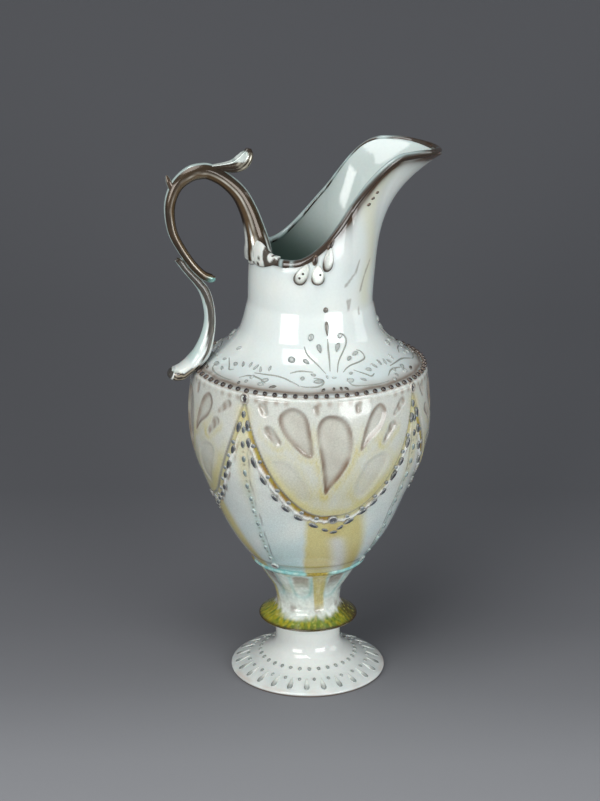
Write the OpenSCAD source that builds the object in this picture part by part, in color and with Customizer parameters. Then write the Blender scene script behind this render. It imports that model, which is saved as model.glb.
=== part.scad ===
// Ornate glazed ewer on a flared foot, with an asymmetric pouring lip and a
// double scroll handle. Z is the axis of the vessel and Z = 0 is the table.
// The spout points along +X, the handle stands on -X, and the four swags of
// the belly are centred on +X, +Y, -X and -Y.

/* [Foot] */
// Radius of the foot ring on the table
foot_r = 48; // [40:0.5:60]
// Height of the foot and its stem, up to the underside of the collar
foot_h = 33; // [26:0.5:42]
// Radius of the stem above the foot
stem_r = 20.2; // [16:0.2:26]
// Number of teardrops round the foot
foot_drops_count = 26; // [12:1:32]
// Number of dots round the root of the stem
foot_dots_count = 32; // [16:1:36]

/* [Collar and calyx] */
// Radius of the thin edge of the collar
collar_r = 30.7; // [26:0.1:36]
// Height of the collar, from its underside to the waist
collar_h = 13; // [9:0.5:18]
// Radius of the waist between the collar and the calyx
waist_r = 19.8; // [16:0.2:25]
// Height of the calyx under the belt
calyx_h = 28; // [20:0.5:36]
// Number of hollow flutes round the calyx
flutes = 8; // [6:1:12]
// Depth of each flute
flute_depth = 1.3; // [0.4:0.1:2]

/* [Belt and bowl] */
// Radius of the belt under the bowl
belt_r = 35.7; // [30:0.1:42]
// Height of the belt
belt_h = 3; // [2:0.1:5]
// Largest radius of the bowl
bowl_r = 72.9; // [60:0.1:85]
// Height of the bowl from the belt to the edge of the shoulder
bowl_h = 123; // [100:1:150]

/* [Swags and ribs] */
// Height of the lowest point of a swag above the belt
swag_low = 47; // [30:1:60]
// Thickness of the raised apron that a swag edges
apron_t = 0.8; // [0.4:0.1:2]
// Distance of the garland of leaf drops from the edge of an apron
swag_groove = 5.6; // [3:0.1:8]
// How much further the garland hangs at its lowest point
swag_point = 6.3; // [0:0.1:9]
// Number of leaf drops in each garland
garland_count = 19; // [15:2:31]
// Number of pearls in the groove above each garland
pearl_count = 16; // [8:2:24]
// Length of a leaf drop
leaf_len = 7.2; // [4:0.2:10]
// Height of the relief of the leaf drops
drop_high = 1.4; // [0.6:0.1:2.5]
// Number of drops in each rib string
rib_count = 12; // [8:1:16]
// Radius of the medallions where the swags meet
medallion_r = 3.2; // [2:0.1:5]

/* [Shoulder and neck] */
// Height of the shoulder from its edge to the root of the neck
shoulder_h = 40; // [30:1:50]
// Number of beads round the edge of the shoulder
bead_count = 72; // [40:4:90]
// Diameter of a bead
bead_d = 2.6; // [1.6:0.1:3.4]
// Outer radius of the neck at its root
neck_r = 37.3; // [30:0.1:45]
// Outer radius of the rim behind the spout
rim_r = 35.4; // [28:0.1:44]
// Height of the neck at the back, under the rim bead
neck_h = 30.6; // [22:0.2:40]

/* [Spout] */
// Reach of the spout's tip from the axis
spout_reach = 79.1; // [60:0.1:95]
// Rise of the spout's lip above the rim at the back
spout_rise = 58.5; // [35:0.5:75]
// How far the tip dips below the highest part of the lip
tip_dip = 4; // [0:0.5:8]
// Height of the dark bead on the rim and the lip
rim_bead_h = 1.4; // [0.8:0.1:2.5]

/* [Handle] */
// Reach of the handle from the axis
handle_reach = 87.3; // [75:0.1:100]
// Height of the handle, from the underside of its leaf to the tip of the thumb leaf
handle_h = 141.3; // [120:0.5:160]
// Width of the handle's strap, which its parts are shares of
strap_w = 10; // [7:0.1:13]
// Thickness of the handle across, as a share of its width in side view
handle_thick_share = 0.9; // [0.6:0.05:1.2]
// Half of the angle that the claw spans round the rim
claw_half_angle = 44; // [20:1:50]
// Thickness of the claw over the rim
claw_t = 3.2; // [2:0.1:5]

/* [Walls] */
// Thickness of the fired wall
wall = 4; // [2.5:0.1:6]
// Width of the foot ring that rests on the table
foot_ring_w = 6; // [4:0.5:10]

/* [Hidden] */
// How smooth the turned shapes are
turn_fn = 96;
// Sides of the fluted calyx
calyx_fn = 64;
// Sides of the neck and its lip, and its rings from root to lip
lip_fn = 60;
lip_rings = 14;
// Sides of a leaf drop and of a bead
drop_fn = 8;
bead_fn = 6;
// Step along the outline for reading its slope
slope_step = 0.5;
// Clearance of pieces that lie round another
seat = 0.05;
rad = 180 / PI;

collar_z = foot_h;
calyx_z = collar_z + collar_h;
belt_z = calyx_z + calyx_h;
bowl_z = belt_z + belt_h;
shoulder_z = bowl_z + bowl_h;
neck_z = shoulder_z + shoulder_h;
rim_z = neck_z + neck_h;
calyx_top_r = belt_r - belt_h * 0.8;
bowl_low_r = belt_r - belt_h * 0.1;
shoulder_r = bowl_low_r + (bowl_r - bowl_low_r) * 0.91;
cavity_z = calyx_z + calyx_h * 0.35;
handle_z = shoulder_z - handle_h * 0.054;

// Each outline is a list of [share of the height, share of the way out].
foot_shares = [[0, 1], [0.06, 1], [0.1, 0.93], [0.13, 0.85], [0.21, 0.6],
    [0.3, 0.37], [0.39, 0.19], [0.48, 0.065], [0.6, 0], [1, 0]];
collar_under_shares = [[0, 0], [0.12, 0.2], [0.2, 0.96], [0.23, 1]];
collar_over_shares = [[0.29, 1], [0.38, 0.77], [0.54, 0.495], [0.69, 0.25],
    [0.85, 0.075], [1, 0]];
calyx_shares = [[0, 0], [0.11, 0.01], [0.21, 0.05], [0.39, 0.16], [0.5, 0.3],
    [0.61, 0.44], [0.74, 0.6], [0.86, 0.76], [1, 1]];
belt_shares = [[0.2, 0.7], [0.5, 1], [0.8, 1]];
bowl_shares = [[0, 0], [0.025, 0.06], [0.07, 0.18], [0.12, 0.29], [0.175, 0.39],
    [0.23, 0.475], [0.29, 0.56], [0.35, 0.64], [0.41, 0.725], [0.47, 0.805],
    [0.53, 0.88], [0.595, 0.94], [0.64, 0.97], [0.69, 0.988], [0.77, 1],
    [0.84, 0.985], [0.9, 0.963], [0.945, 0.94], [0.975, 0.93], [1, 0.91]];
shoulder_shares = [[0, 1], [0.03, 0.93], [0.075, 0.83], [0.12, 0.745],
    [0.175, 0.65], [0.225, 0.56], [0.275, 0.48], [0.33, 0.39], [0.4, 0.3],
    [0.47, 0.22], [0.55, 0.16], [0.65, 0.11], [0.75, 0.08], [0.88, 0.04], [1, 0]];
// Way out of the lip from the rim to the tip, by the angle from the spout.
lip_shares = [[0, 1], [4, 0.985], [9, 0.905], [13, 0.85], [17, 0.775], [23, 0.63],
    [29, 0.5], [36, 0.38], [42, 0.245], [50, 0.105], [59, 0.01], [66, 0], [180, 0]];

function stretch(shares, z, h, r, out) = [for (s = shares) [z + h * s[0], r + out * s[1]]];

foot_line = stretch(foot_shares, 0, foot_h, stem_r, foot_r - stem_r);
collar_line = concat(
    stretch(collar_under_shares, collar_z, collar_h, stem_r, collar_r - stem_r),
    stretch(collar_over_shares, collar_z, collar_h, waist_r, collar_r - waist_r));
calyx_line = stretch(calyx_shares, calyx_z, calyx_h, waist_r, calyx_top_r - waist_r);
belt_line = concat([[belt_z, calyx_top_r]],
    stretch(belt_shares, belt_z, belt_h, calyx_top_r, belt_r - calyx_top_r),
    [[bowl_z, bowl_low_r]]);
bowl_line = stretch(bowl_shares, bowl_z, bowl_h, bowl_low_r, bowl_r - bowl_low_r);
shoulder_line = stretch(shoulder_shares, shoulder_z, shoulder_h, neck_r, shoulder_r - neck_r);
body_line = concat(foot_line, collar_line, calyx_line, belt_line, bowl_line, shoulder_line);

// Outer radius of the body at a height, and the tilt of its surface there.
function body_r(z) = lookup(z, body_line);
function body_tilt(z) =
    atan2(body_r(z - slope_step) - body_r(z + slope_step), 2 * slope_step);
function on_body(a, z, h) =
    let (t = body_tilt(z), r = body_r(z) + h * cos(t))
    [r * cos(a), r * sin(a), z + h * sin(t)];

// The neck: its lip by angle from the spout, and a point of its wall.
function lip_r(a) = rim_r + (spout_reach - rim_r) * lookup(abs(a), lip_shares);
function ease(t) = t <= 0 ? 0 : t >= 1 ? 1 : t * t * (3 - 2 * t);
function lip_z(a) =
    let (x = lip_r(a) * cos(a) / spout_reach)
    rim_z + spout_rise * ease((x + 0.25) / 0.91) - tip_dip * pow(max(0, (x - 0.73) / 0.27), 2);
function flare(t) = 0.15 * t + 0.85 * pow(t, 4);
function neck_rz(a, t) =
    [neck_r + (lip_r(a) - neck_r) * flare(t), neck_z + (lip_z(a) - neck_z) * t];
function neck_lean(a, t) =
    let (lo = neck_rz(a, t - 0.02), hi = neck_rz(a, t))
    min(1, 5 * t) * atan2(hi[0] - lo[0], hi[1] - lo[1]);
// h is how far out of the wall's outer face the point lies.
function on_neck(a, t, h) =
    let (p = neck_rz(a, t), m = neck_lean(a, t), r = p[0] + h * cos(m))
    [r * cos(a), r * sin(a), p[1] - h * sin(m)];

// A smooth curve through the points of a list, k steps to a span.
function blend(a, b, c, d, t) =
    (2 * b + (c - a) * t + (2 * a - 5 * b + 4 * c - d) * t * t
        + (3 * b - a - 3 * c + d) * t * t * t) / 2;
function smooth(p, k) =
    let (n = len(p) - 1)
    concat([for (i = [0:n - 1], j = [0:k - 1])
        blend(p[max(0, i - 1)], p[i], p[i + 1], p[min(n, i + 2)], j / k)], [p[n]]);

// Faces of m rings of n points, closed by end caps or wrapped round.
function ring_faces(m, n, wrap) = concat(
    [for (j = [0:m - (wrap ? 1 : 2)], i = [0:n - 1], k = [0:1])
        let (a = j * n + i, b = j * n + (i + 1) % n,
            c = ((j + 1) % m) * n + i, d = ((j + 1) % m) * n + (i + 1) % n)
        k == 0 ? [a, c, d] : [a, d, b]],
    wrap ? [] : [[for (i = [0:n - 1]) i], [for (i = [n - 1:-1:0]) (m - 1) * n + i]]);

module skin(rings, wrap = false) {
    polyhedron([for (r = rings, p = r) p], ring_faces(len(rings), len(rings[0]), wrap), convexity = 6);
}

// A raised drop on the body: [angle, height, turn, length, width, high, tail].
function drop_at(d, q, p, h) =
    let (u = q * cos(d[2]) - p * sin(d[2]), v = q * sin(d[2]) + p * cos(d[2]),
        z = d[1] + v * cos(body_tilt(d[1])))
    on_body(d[0] + rad * u / body_r(z), z, h);
function neck_drop_at(d, q, p, h) =
    let (u = q * cos(d[2]) - p * sin(d[2]), v = q * sin(d[2]) + p * cos(d[2]),
        c = neck_rz(d[0], d[1]), tall = lip_z(d[0]) - neck_z)
    on_neck(d[0] + rad * u / c[0], d[1] + v * cos(neck_lean(d[0], d[1])) / tall, h);
function drop_spot(d, q, p, h, neck) = neck ? neck_drop_at(d, q, p, h) : drop_at(d, q, p, h);
function drop_ring(d, size, h, n, neck) =
    [for (i = [0:n - 1]) let (a = 360 * i / n)
        drop_spot(d, size * d[4] / 2 * cos(a) * (1 - d[6] * sin(a)), size * d[3] / 2 * sin(a), h, neck)];
function drop_points(d, n, neck) = concat([drop_spot(d, 0, 0, 0, neck)],
    drop_ring(d, 1, 0, n, neck), drop_ring(d, 0.75, d[5] * 0.7, n, neck), [drop_spot(d, 0, 0, d[5], neck)]);
function drop_faces(n, o) =
    [for (i = [0:n - 1], k = [0:3])
        let (a = 1 + i, b = 1 + (i + 1) % n, c = a + n, d = b + n, top = 2 * n + 1)
        [for (v = k == 0 ? [0, a, b] : k == 1 ? [a, c, d] : k == 2 ? [a, d, b] : [c, top, d]) v + o]];

module drops(list, n = drop_fn, neck = false) {
    polyhedron([for (d = list, p = drop_points(d, n, neck)) p],
        [for (k = [0:len(list) - 1], f = drop_faces(n, k * (2 * n + 2))) f], convexity = 6);
}

// A turned shell from an outer line and the line of its hollow.
module turned(outer, inner) {
    rotate_extrude($fn = turn_fn)
        polygon(concat([for (p = outer) [p[1], p[0]]],
            [for (i = [len(inner) - 1:-1:0]) [inner[i][1], inner[i][0]]]));
}

function hollow(line) = [for (p = line) [p[0], p[1] - wall]];

// The foot is a trumpet, hollow underneath up to the stem.
foot_hollow_shares = [[0, 1], [0.08, 0.97], [0.2, 0.6], [0.33, 0.33], [0.5, 0.2], [0.72, 0.14]];
module foot() {
    in_r = foot_r - foot_ring_w;
    under = [for (s = foot_hollow_shares) [foot_h * s[0], in_r * s[1]]];
    color("ivory")
        turned(concat(foot_line, [[foot_h, 0]]), concat(under, [[foot_h * 0.76, 0]]));
}

module foot_drops() {
    z = foot_h * 0.168;
    color("lightsteelblue")
        drops([for (i = [0:foot_drops_count - 1])
            [360 / foot_drops_count * (i + 0.5), z, 0, foot_r * 0.18, foot_r * 0.09, 1, 0.4]]);
}

module foot_dots() {
    low = [for (i = [0:foot_drops_count - 1])
        [360 / foot_drops_count * i, foot_h * 0.2, 0, foot_r * 0.045, foot_r * 0.04, 0.7, 0]];
    high = [for (i = [0:foot_dots_count - 1])
        [360 / foot_dots_count * i, foot_h * 0.28, 0, foot_r * 0.04, foot_r * 0.035, 0.6, 0]];
    color("slategray")
        drops(concat(low, high), bead_fn);
}

module collar() {
    color("darkkhaki")
        turned(concat(collar_line, [[calyx_z, 0]]), [[collar_z, 0]]);
}

// The calyx is fluted outside and round inside.
function flute(a, z) =
    let (s = (z - calyx_z) / calyx_h)
    flute_depth * (0.5 - 0.5 * cos(flutes * a)) * pow(max(0, sin(180 * min(1, 0.06 + s))), 1);
function calyx_ring(z) = let (end = z <= calyx_z || z >= belt_z)
    [for (i = [0:calyx_fn - 1]) let (a = 360 * i / calyx_fn, r = body_r(z) - (end ? 0 : flute(a, z)))
        [r * cos(a), r * sin(a), z]];
function round_ring(r, z) =
    [for (i = [0:calyx_fn - 1]) let (a = 360 * i / calyx_fn) [r * cos(a), r * sin(a), z]];
module calyx() {
    inner = [for (p = calyx_line) if (p[0] > cavity_z) p];
    color("honeydew")
        skin(concat([for (p = calyx_line) calyx_ring(p[0])],
            [for (i = [len(inner) - 1:-1:0]) round_ring(inner[i][1] - wall - flute_depth / 2, inner[i][0])],
            [round_ring(body_r(cavity_z) - wall - flute_depth / 2, cavity_z)]));
}

module belt() {
    color("darkturquoise")
        turned(belt_line, [[belt_z, calyx_top_r - wall - flute_depth / 2], [bowl_z, bowl_low_r - wall]]);
}

// Small flowers of five drops, where the rib strings meet the belt.
function flower(a, z, r, n, high) = concat([[a, z, 0, r * 0.8, r * 0.8, high, 0]],
    [for (i = [0:n - 1]) let (t = 360 * i / n)
        [a - rad * r * 0.9 * sin(t) / body_r(z), z + r * 0.9 * cos(t) * cos(body_tilt(z)), t,
            r * 0.85, r * 0.6, high * 0.8, 0]]);
module belt_rosettes() {
    color("tan")
        drops([for (k = [0:3], d = flower(45 + 90 * k, bowl_z + medallion_r * 1.5, medallion_r * 0.95,
            5, drop_high * 0.7)) d], bead_fn);
}

module bowl() {
    color("azure")
        turned(bowl_line, hollow(bowl_line));
}

// Height of the swag's edge at an angle from its middle.
swag_top = shoulder_z - bead_d * 1.6;
swag_bottom = bowl_z + swag_low;
function swag_z(a) = swag_bottom + (swag_top - swag_bottom) * pow(abs(a) / 45, 2.6);

module swag_aprons() {
    across = 16;
    up = 8;
    top = shoulder_z - bead_d;
    color("bisque")
        for (k = [0:3])
            skin([for (i = [0:across])
                let (d = 42.5 * (2 * i / across - 1), lo = swag_z(d), a = 90 * k + d)
                concat([for (j = [0:up]) on_body(a, lo + (top - lo) * j / up, 5 * seat)],
                    [for (j = [up:-1:0]) on_body(a, lo + (top - lo) * j / up, apron_t)])]);
}

// A place outside an apron's edge: [angle, height, slope of the edge], at angle d from its middle.
function swag_slope(d) = let (e = abs(d))
    sign(d) * atan2(swag_z(e + 1) - swag_z(e - 0.99), 1.99 / rad * body_r(swag_z(d)));
function swag_spot(d, out) = let (m = swag_slope(d), z = swag_z(d))
    [d + rad * out * sin(m) / body_r(z), z - out * cos(m), m];

// Leaf drops hang along the swag, and come to a point under its middle.
function garland_drop(k, i) =
    let (s = 2 * (i + 0.5) / garland_count - 1, d = 43 * sign(s) * pow(abs(s), 0.8),
        p = swag_spot(d, swag_groove + swag_point * exp(-pow(d / 13, 2))))
    [90 * k + p[0], p[1], p[2] + (d < 0 ? -90 : 90), leaf_len, leaf_len * 0.64, drop_high, -0.3];
module swag_garlands() {
    color("lightslategray")
        drops([for (k = [0:3], i = [0:garland_count - 1]) garland_drop(k, i)]);
}

// A rosette in the lowest part of the groove, and pearls on both sides of it.
rosette_share = 0.88;
function pearl(k, s) = let (p = swag_spot(42 * sign(s) * pow(abs(s), 0.75), swag_groove * 0.38))
    [90 * k + p[0], p[1], 0, leaf_len * 0.42, leaf_len * 0.4, drop_high * 0.7, 0];
module swag_rosettes() {
    wide = medallion_r * 2 * rosette_share;
    color("cornflowerblue")
        drops(concat([for (k = [0:3]) [90 * k, swag_bottom - swag_groove / 2, 0, wide, wide, drop_high, 0]],
            [for (k = [0:3], m = [-1, 1], i = [0:pearl_count / 2 - 1])
                pearl(k, m * (0.08 + 0.92 * (i + 0.5) / (pearl_count / 2)))]), bead_fn);
}

module rib_strings() {
    top = swag_top - medallion_r * 2.6;
    low = bowl_z + medallion_r * 3.4;
    color("lightgray")
        drops([for (k = [0:3], i = [0:rib_count - 1])
            [45 + 90 * k, top + (low - top) * i / (rib_count - 1), 0, leaf_len * 0.78, leaf_len * 0.5,
                drop_high * 0.8, -0.25]], bead_fn);
}

module medallions() {
    color("khaki")
        drops([for (k = [0:3]) [45 + 90 * k, shoulder_z - medallion_r * 1.1, 0,
            medallion_r * 2, medallion_r * 2, drop_high, 0]]);
}

module shoulder() {
    color("white")
        turned(shoulder_line, hollow(shoulder_line));
}

// The beads sit on the corner where the bowl turns into the shoulder.
module shoulder_beads() {
    color("peru")
        drops([for (i = [0:bead_count - 1])
            [360 / bead_count * (i + 0.5), shoulder_z + bead_d * 0.12, 0, bead_d, bead_d,
                bead_d * 0.6, 0]], bead_fn);
}

// A palmette above each swag: [way round in degrees, share of the shoulder's height, length, width,
// turn, tail], with the sizes in shares of a leaf drop.
palm_mid_shares = [[0, 1.04, 0.5, 0.46, 0, 0], [0, 0.86, 1.1, 0.58, 0, -0.3], [0, 0.5, 1.5, 0.2, 0, 0]];
palm_side_shares = [[6.8, 0.52, 0.5, 0.42, -30, 0], [12.8, 0.71, 0.55, 0.3, -50, 0],
    [18, 0.59, 0.45, 0.34, 0, 0], [15.6, 0.375, 0.46, 0.4, -60, 0], [25, 0.39, 0.5, 0.36, -70, 0],
    [10, 0.165, 0.6, 0.36, -60, 0], [2, 0.1, 0.7, 0.4, -12, 0.3], [6.2, 0.1, 0.7, 0.4, -30, 0.3],
    [24, 0.18, 0.6, 0.32, -80, 0], [38.5, 0.23, 0.5, 0.38, 0, 0], [33, 0.095, 0.46, 0.34, -90, 0]];
function palm(a, d, m) = [a + m * d[0], shoulder_z + shoulder_h * d[1], m * d[4],
    leaf_len * d[2], leaf_len * d[3], drop_high * 0.75, d[5]];
// Under the handle, the third quarter from the spout, only the low drops of the palmette are laid.
under_handle = 2;
low_share = 0.45;
module shoulder_sprigs() {
    color("slateblue")
        drops([for (k = [0:3],
            d = concat([for (d = palm_mid_shares) if (k != under_handle) palm(90 * k, d, 1)],
            [for (d = palm_side_shares, m = [-1, 1]) if (k != under_handle || d[1] < low_share)
                palm(90 * k, d, m)])) d], bead_fn);
}

// The neck grows from a round root into the pouring lip.
function neck_angle(i) = let (u = 2 * i / lip_fn - 1) 180 * sign(u) * pow(abs(u), 1.5);
function neck_ring(t, h) = [for (i = [0:lip_fn - 1]) on_neck(neck_angle(i), t, h)];
module neck_spout() {
    steps = [for (j = [0:lip_rings]) 1 - pow(1 - j / lip_rings, 1.25)];
    color("white")
        skin(concat([for (t = steps) neck_ring(t, 0)],
            [for (j = [lip_rings:-1:0]) neck_ring(steps[j], -wall * (1 - 0.25 * steps[j]))]), true);
}

// The dark bead shares the strip on top of the wall with it.
function rim_point(a, across, up) =
    let (o = on_neck(a, 1, 0), i = on_neck(a, 1, -wall * 0.75))
    o + (i - o) * across + [0, 0, up * rim_bead_h + 2 * seat];
module rim_bead() {
    section = [[0, 0], [1, 0], [1, 0.5], [0.75, 0.9], [0.4, 1], [0.05, 0.65]];
    color("saddlebrown")
        skin([for (i = [0:lip_fn - 1])
            [for (s = section) rim_point(neck_angle(lip_fn - 1 - i), s[0], s[1])]], true);
}

// Drops that hang below the lip on the side of the spout.
module lip_drops() {
    half_shares = [[110.7, 0.7, 1.25, 0.85, -20, 0.1], [96.6, 0.59, 1.2, 1.05, 0, 0.1],
        [86.5, 0.73, 1.6, 0.95, 10, 0.2], [98.5, 0.88, 0.5, 0.45, 0, 0], [82, 0.93, 0.5, 0.45, 0, 0]];
    color("saddlebrown")
        drops([for (m = [-1, 1], d = half_shares)
            [m * d[0], d[1], m * d[4], leaf_len * d[2], leaf_len * d[3], drop_high, d[5]]], drop_fn, true);
}

// The claw is a saddle over the rim: three lobes, each with a flap on both sides.
function claw_section(u) =
    let (a = 180 + claw_half_angle * u,
        lobe = 0.76 + 0.24 * abs(cos(270 * u)), fade = 0.35 + 0.65 * cos(80 * u),
        t = claw_t * lobe * fade, ro = rim_r + seat, ri = rim_r - wall * 0.75 - seat,
        top = rim_z + rim_bead_h + 3 * seat, down = neck_h * 0.3 * fade * lobe,
        rd = neck_rz(180, 1 - (down - rim_bead_h) / neck_h)[0] + seat)
    [for (p = [[ro, top], [rd, top - down], [rd + t * 0.5, top - down * 0.94],
        [rd + t * 1.25, top - down * 0.5], [ro + t * 1.6, top + t * 0.4],
        [ro - wall * 0.2, top + t * 1.5], [ri, top + t * 1.35], [ri - t * 0.8, top + t * 0.4],
        [ri - t * 0.9, top - down * 0.55], [ri - t * 0.4, top - down], [ri, top - down * 1.05], [ri, top]])
        [p[0] * cos(a), p[0] * sin(a), p[1]]];
module rim_claw() {
    steps = 18;
    color("white")
        skin([for (i = [0:steps]) [for (j = [11:-1:0]) claw_section(2 * i / steps - 1)[j]]]);
}

// Handle outlines: [share of the way out, share of the height, width and thickness in straps].
// The way out is that of the handle, or of the rim or the shoulder where the handle meets them.
arch_root_shares = [[0.932, 0.635, 1.35, 1.2], [0.957, 0.66, 1.25, 1.1]];
arch_shares = [[0.41, 0.7, 1.1, 0.95], [0.465, 0.775, 1, 0.9], [0.56, 0.85, 0.9, 0.86],
    [0.685, 0.9, 0.94, 0.84], [0.815, 0.892, 0.94, 0.8], [0.912, 0.85, 0.8, 0.74],
    [0.96, 0.79, 0.7, 0.68], [0.964, 0.725, 0.63, 0.66], [0.945, 0.655, 0.58, 0.64],
    [0.896, 0.587, 0.54, 0.62], [0.82, 0.515, 0.52, 0.6], [0.748, 0.467, 0.47, 0.54],
    [0.686, 0.44, 0.3, 0.32]];
scroll_shares = [[0.917, 0.527, 0.26, 0.36], [0.853, 0.484, 0.42, 0.58],
    [0.787, 0.438, 0.5, 0.68], [0.74, 0.395, 0.62, 0.7], [0.708, 0.34, 0.66, 0.72],
    [0.699, 0.273, 0.68, 0.74]];
scroll_root_shares = [[0.897, 0.203, 0.82, 0.86], [0.951, 0.13, 1.05, 1.2]];
thumb_shares = [[0.58, 0.914, 0.62, 0.7], [0.534, 0.922, 0.84, 0.9],
    [0.474, 0.934, 1, 0.86], [0.437, 0.961, 0.8, 0.7], [0.421, 0.994, 0.24, 0.2]];
leaf_shares = [[1.034, 0.086, 0.76, 1.7], [1.096, 0.058, 0.8, 1.7], [1.162, 0.044, 0.64, 1.6],
    [1.214, 0.043, 0.48, 1.2], [1.24, 0.05, 0.24, 0.6]];
// The spur stands off a place on the arch: [out, up, width, thickness], all in straps.
spur_foot_share = [0.912, 0.85];
spur_shares = [[0.472, 0.167, 0.36, 0.46], [0.542, 0.38, 0.28, 0.34], [0.612, 0.59, 0.12, 0.14]];

function spots(shares, out) = [for (s = shares)
    [-s[0] * out, handle_z + s[1] * handle_h, s[2] * strap_w, s[3] * strap_w]];
arch_line = smooth(concat(spots(arch_root_shares, rim_r), spots(arch_shares, handle_reach)), 3);
scroll_line = smooth(concat(spots(scroll_shares, handle_reach), spots(scroll_root_shares, shoulder_r)), 4);
thumb_line = smooth(spots(thumb_shares, handle_reach), 3);
spur_line = smooth([for (s = spur_shares)
    [-spur_foot_share[0] * handle_reach - s[0] * strap_w,
        handle_z + spur_foot_share[1] * handle_h + s[1] * strap_w, s[2] * strap_w, s[3] * strap_w]], 3);
leaf_line = smooth(spots(leaf_shares, shoulder_r), 3);
function heading(p, i) =
    let (a = p[max(0, i - 1)], b = p[min(len(p) - 1, i + 1)]) atan2(b[1] - a[1], b[0] - a[0]);
function tube(p, n) = [for (i = [0:len(p) - 1])
    let (m = heading(p, i))
    [for (j = [0:n - 1]) let (a = 360 * (j + 0.5) / n, e = p[i][2] / 2 * cos(a),
        b = p[i][3] / 2 * handle_thick_share * sin(a))
        [p[i][0] + e * sin(m), b, p[i][1] - e * cos(m)]]];

// The arch stands on the claw, so its first ring lies flat on top of it.
claw_top = rim_z + rim_bead_h + 4 * seat + claw_t * 1.5;
module handle_arch() {
    rings = tube(arch_line, 12);
    color("saddlebrown")
        skin(concat([[for (p = rings[0]) [p[0] + claw_t * 0.2, p[1], claw_top]]], rings));
}

module handle_scroll() {
    color("white")
        skin(tube(scroll_line, 12));
}

module thumb_leaf() {
    color("saddlebrown")
        skin(tube(thumb_line, 10));
}

module handle_spur() {
    color("sienna")
        skin(tube(spur_line, 8));
}

// The leaf grows from the end of the scroll and lies over the shoulder's edge.
module terminal_leaf() {
    stem = tube(scroll_line, 12);
    color("white")
        skin(concat([stem[len(stem) - 1]], tube(leaf_line, 12)));
}

foot();
foot_drops();
foot_dots();
collar();
calyx();
belt();
belt_rosettes();
bowl();
swag_aprons();
swag_garlands();
swag_rosettes();
rib_strings();
medallions();
shoulder();
shoulder_beads();
shoulder_sprigs();
neck_spout();
rim_bead();
lip_drops();
rim_claw();
handle_arch();
handle_scroll();
thumb_leaf();
handle_spur();
terminal_leaf();
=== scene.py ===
"""A glazed porcelain ewer on a trumpet foot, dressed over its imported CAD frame.

Every new surface is a grid of points worked out with numpy. A turned wall takes an angle and a height,
looks up the radius at that height, and steps out along the wall's normal by a relief height. A handle takes
a place along a path and an angle round it. A drop of slip takes a place on its own small disc. The glaze is
painted the same way: each point of a grid gets a colour from how deep it lies in the relief, which is where
real glaze runs thick or thin.
"""

# %% [markdown]
# # The frame, and the size that must not change
#
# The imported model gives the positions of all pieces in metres, with Z up and the spout towards +X. Its box
# is kept here, so that the last cell can show that the dressed ewer still fits it.

import math

import bpy
import numpy as np
from mathutils import Matrix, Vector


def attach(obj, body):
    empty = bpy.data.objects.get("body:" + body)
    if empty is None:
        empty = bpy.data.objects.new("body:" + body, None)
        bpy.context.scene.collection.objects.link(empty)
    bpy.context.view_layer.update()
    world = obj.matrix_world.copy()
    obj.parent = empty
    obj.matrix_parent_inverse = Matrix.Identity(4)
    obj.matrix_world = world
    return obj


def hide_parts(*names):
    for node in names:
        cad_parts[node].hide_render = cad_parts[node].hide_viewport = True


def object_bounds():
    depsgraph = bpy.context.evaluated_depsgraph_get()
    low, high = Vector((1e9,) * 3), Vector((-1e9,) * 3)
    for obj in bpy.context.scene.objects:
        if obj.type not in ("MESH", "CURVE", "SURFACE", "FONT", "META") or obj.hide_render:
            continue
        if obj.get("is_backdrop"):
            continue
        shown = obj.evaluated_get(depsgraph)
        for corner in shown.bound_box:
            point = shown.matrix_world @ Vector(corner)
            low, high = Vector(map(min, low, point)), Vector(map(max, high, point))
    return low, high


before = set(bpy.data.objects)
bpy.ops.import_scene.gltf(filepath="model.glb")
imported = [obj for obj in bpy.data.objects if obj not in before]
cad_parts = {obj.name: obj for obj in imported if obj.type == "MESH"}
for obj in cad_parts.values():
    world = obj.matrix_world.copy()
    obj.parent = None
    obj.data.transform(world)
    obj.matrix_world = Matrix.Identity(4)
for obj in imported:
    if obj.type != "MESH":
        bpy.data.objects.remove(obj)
cad_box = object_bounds()
MM = 0.001
print("CAD box in metres:", [[round(float(v), 4) for v in corner] for corner in cad_box])

# %% [markdown]
# ## The camera
#
# The photograph looks down at the ewer by about 18 degrees from 1.3 m away, through a lens of about 94 mm
# on a 36 mm frame. The vanishing of the foot, the belt and the row of beads gave these numbers. The camera
# stands 13 degrees round from the ewer's side towards the handle, so the spout points a little away from
# the lens.

# %% Place the camera
def aim(eye, look, roll_deg=0.0):
    """A camera matrix from a place and a direction: Z runs backwards, X is level, then both turn by the
    roll."""
    back = -np.array(look, float) / np.linalg.norm(look)
    right = np.cross([0, 0, 1], back)
    right /= np.linalg.norm(right)
    up = np.cross(back, right)
    c, s = math.cos(math.radians(roll_deg)), math.sin(math.radians(roll_deg))
    m = np.eye(4)
    m[:3, 0], m[:3, 1], m[:3, 2], m[:3, 3] = c * right + s * up, c * up - s * right, back, eye
    return Matrix(m.tolist())


EYE = (-0.27785, -1.17816, 0.57659)
GAZE = (0.21354, 0.92493, -0.31449)
ROLL = 0.3
LENS_MM, FRAME_MM = 94.38, 36
lens = bpy.data.cameras.new("camera")
lens.lens, lens.sensor_width, lens.clip_end = LENS_MM, FRAME_MM, 20
camera = bpy.data.objects.new("camera", lens)
bpy.context.scene.collection.objects.link(camera)
camera.matrix_world = aim(EYE, GAZE, ROLL)
bpy.context.scene.camera = camera
print("camera at", [round(v, 3) for v in camera.location], "lens", lens.lens)

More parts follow.
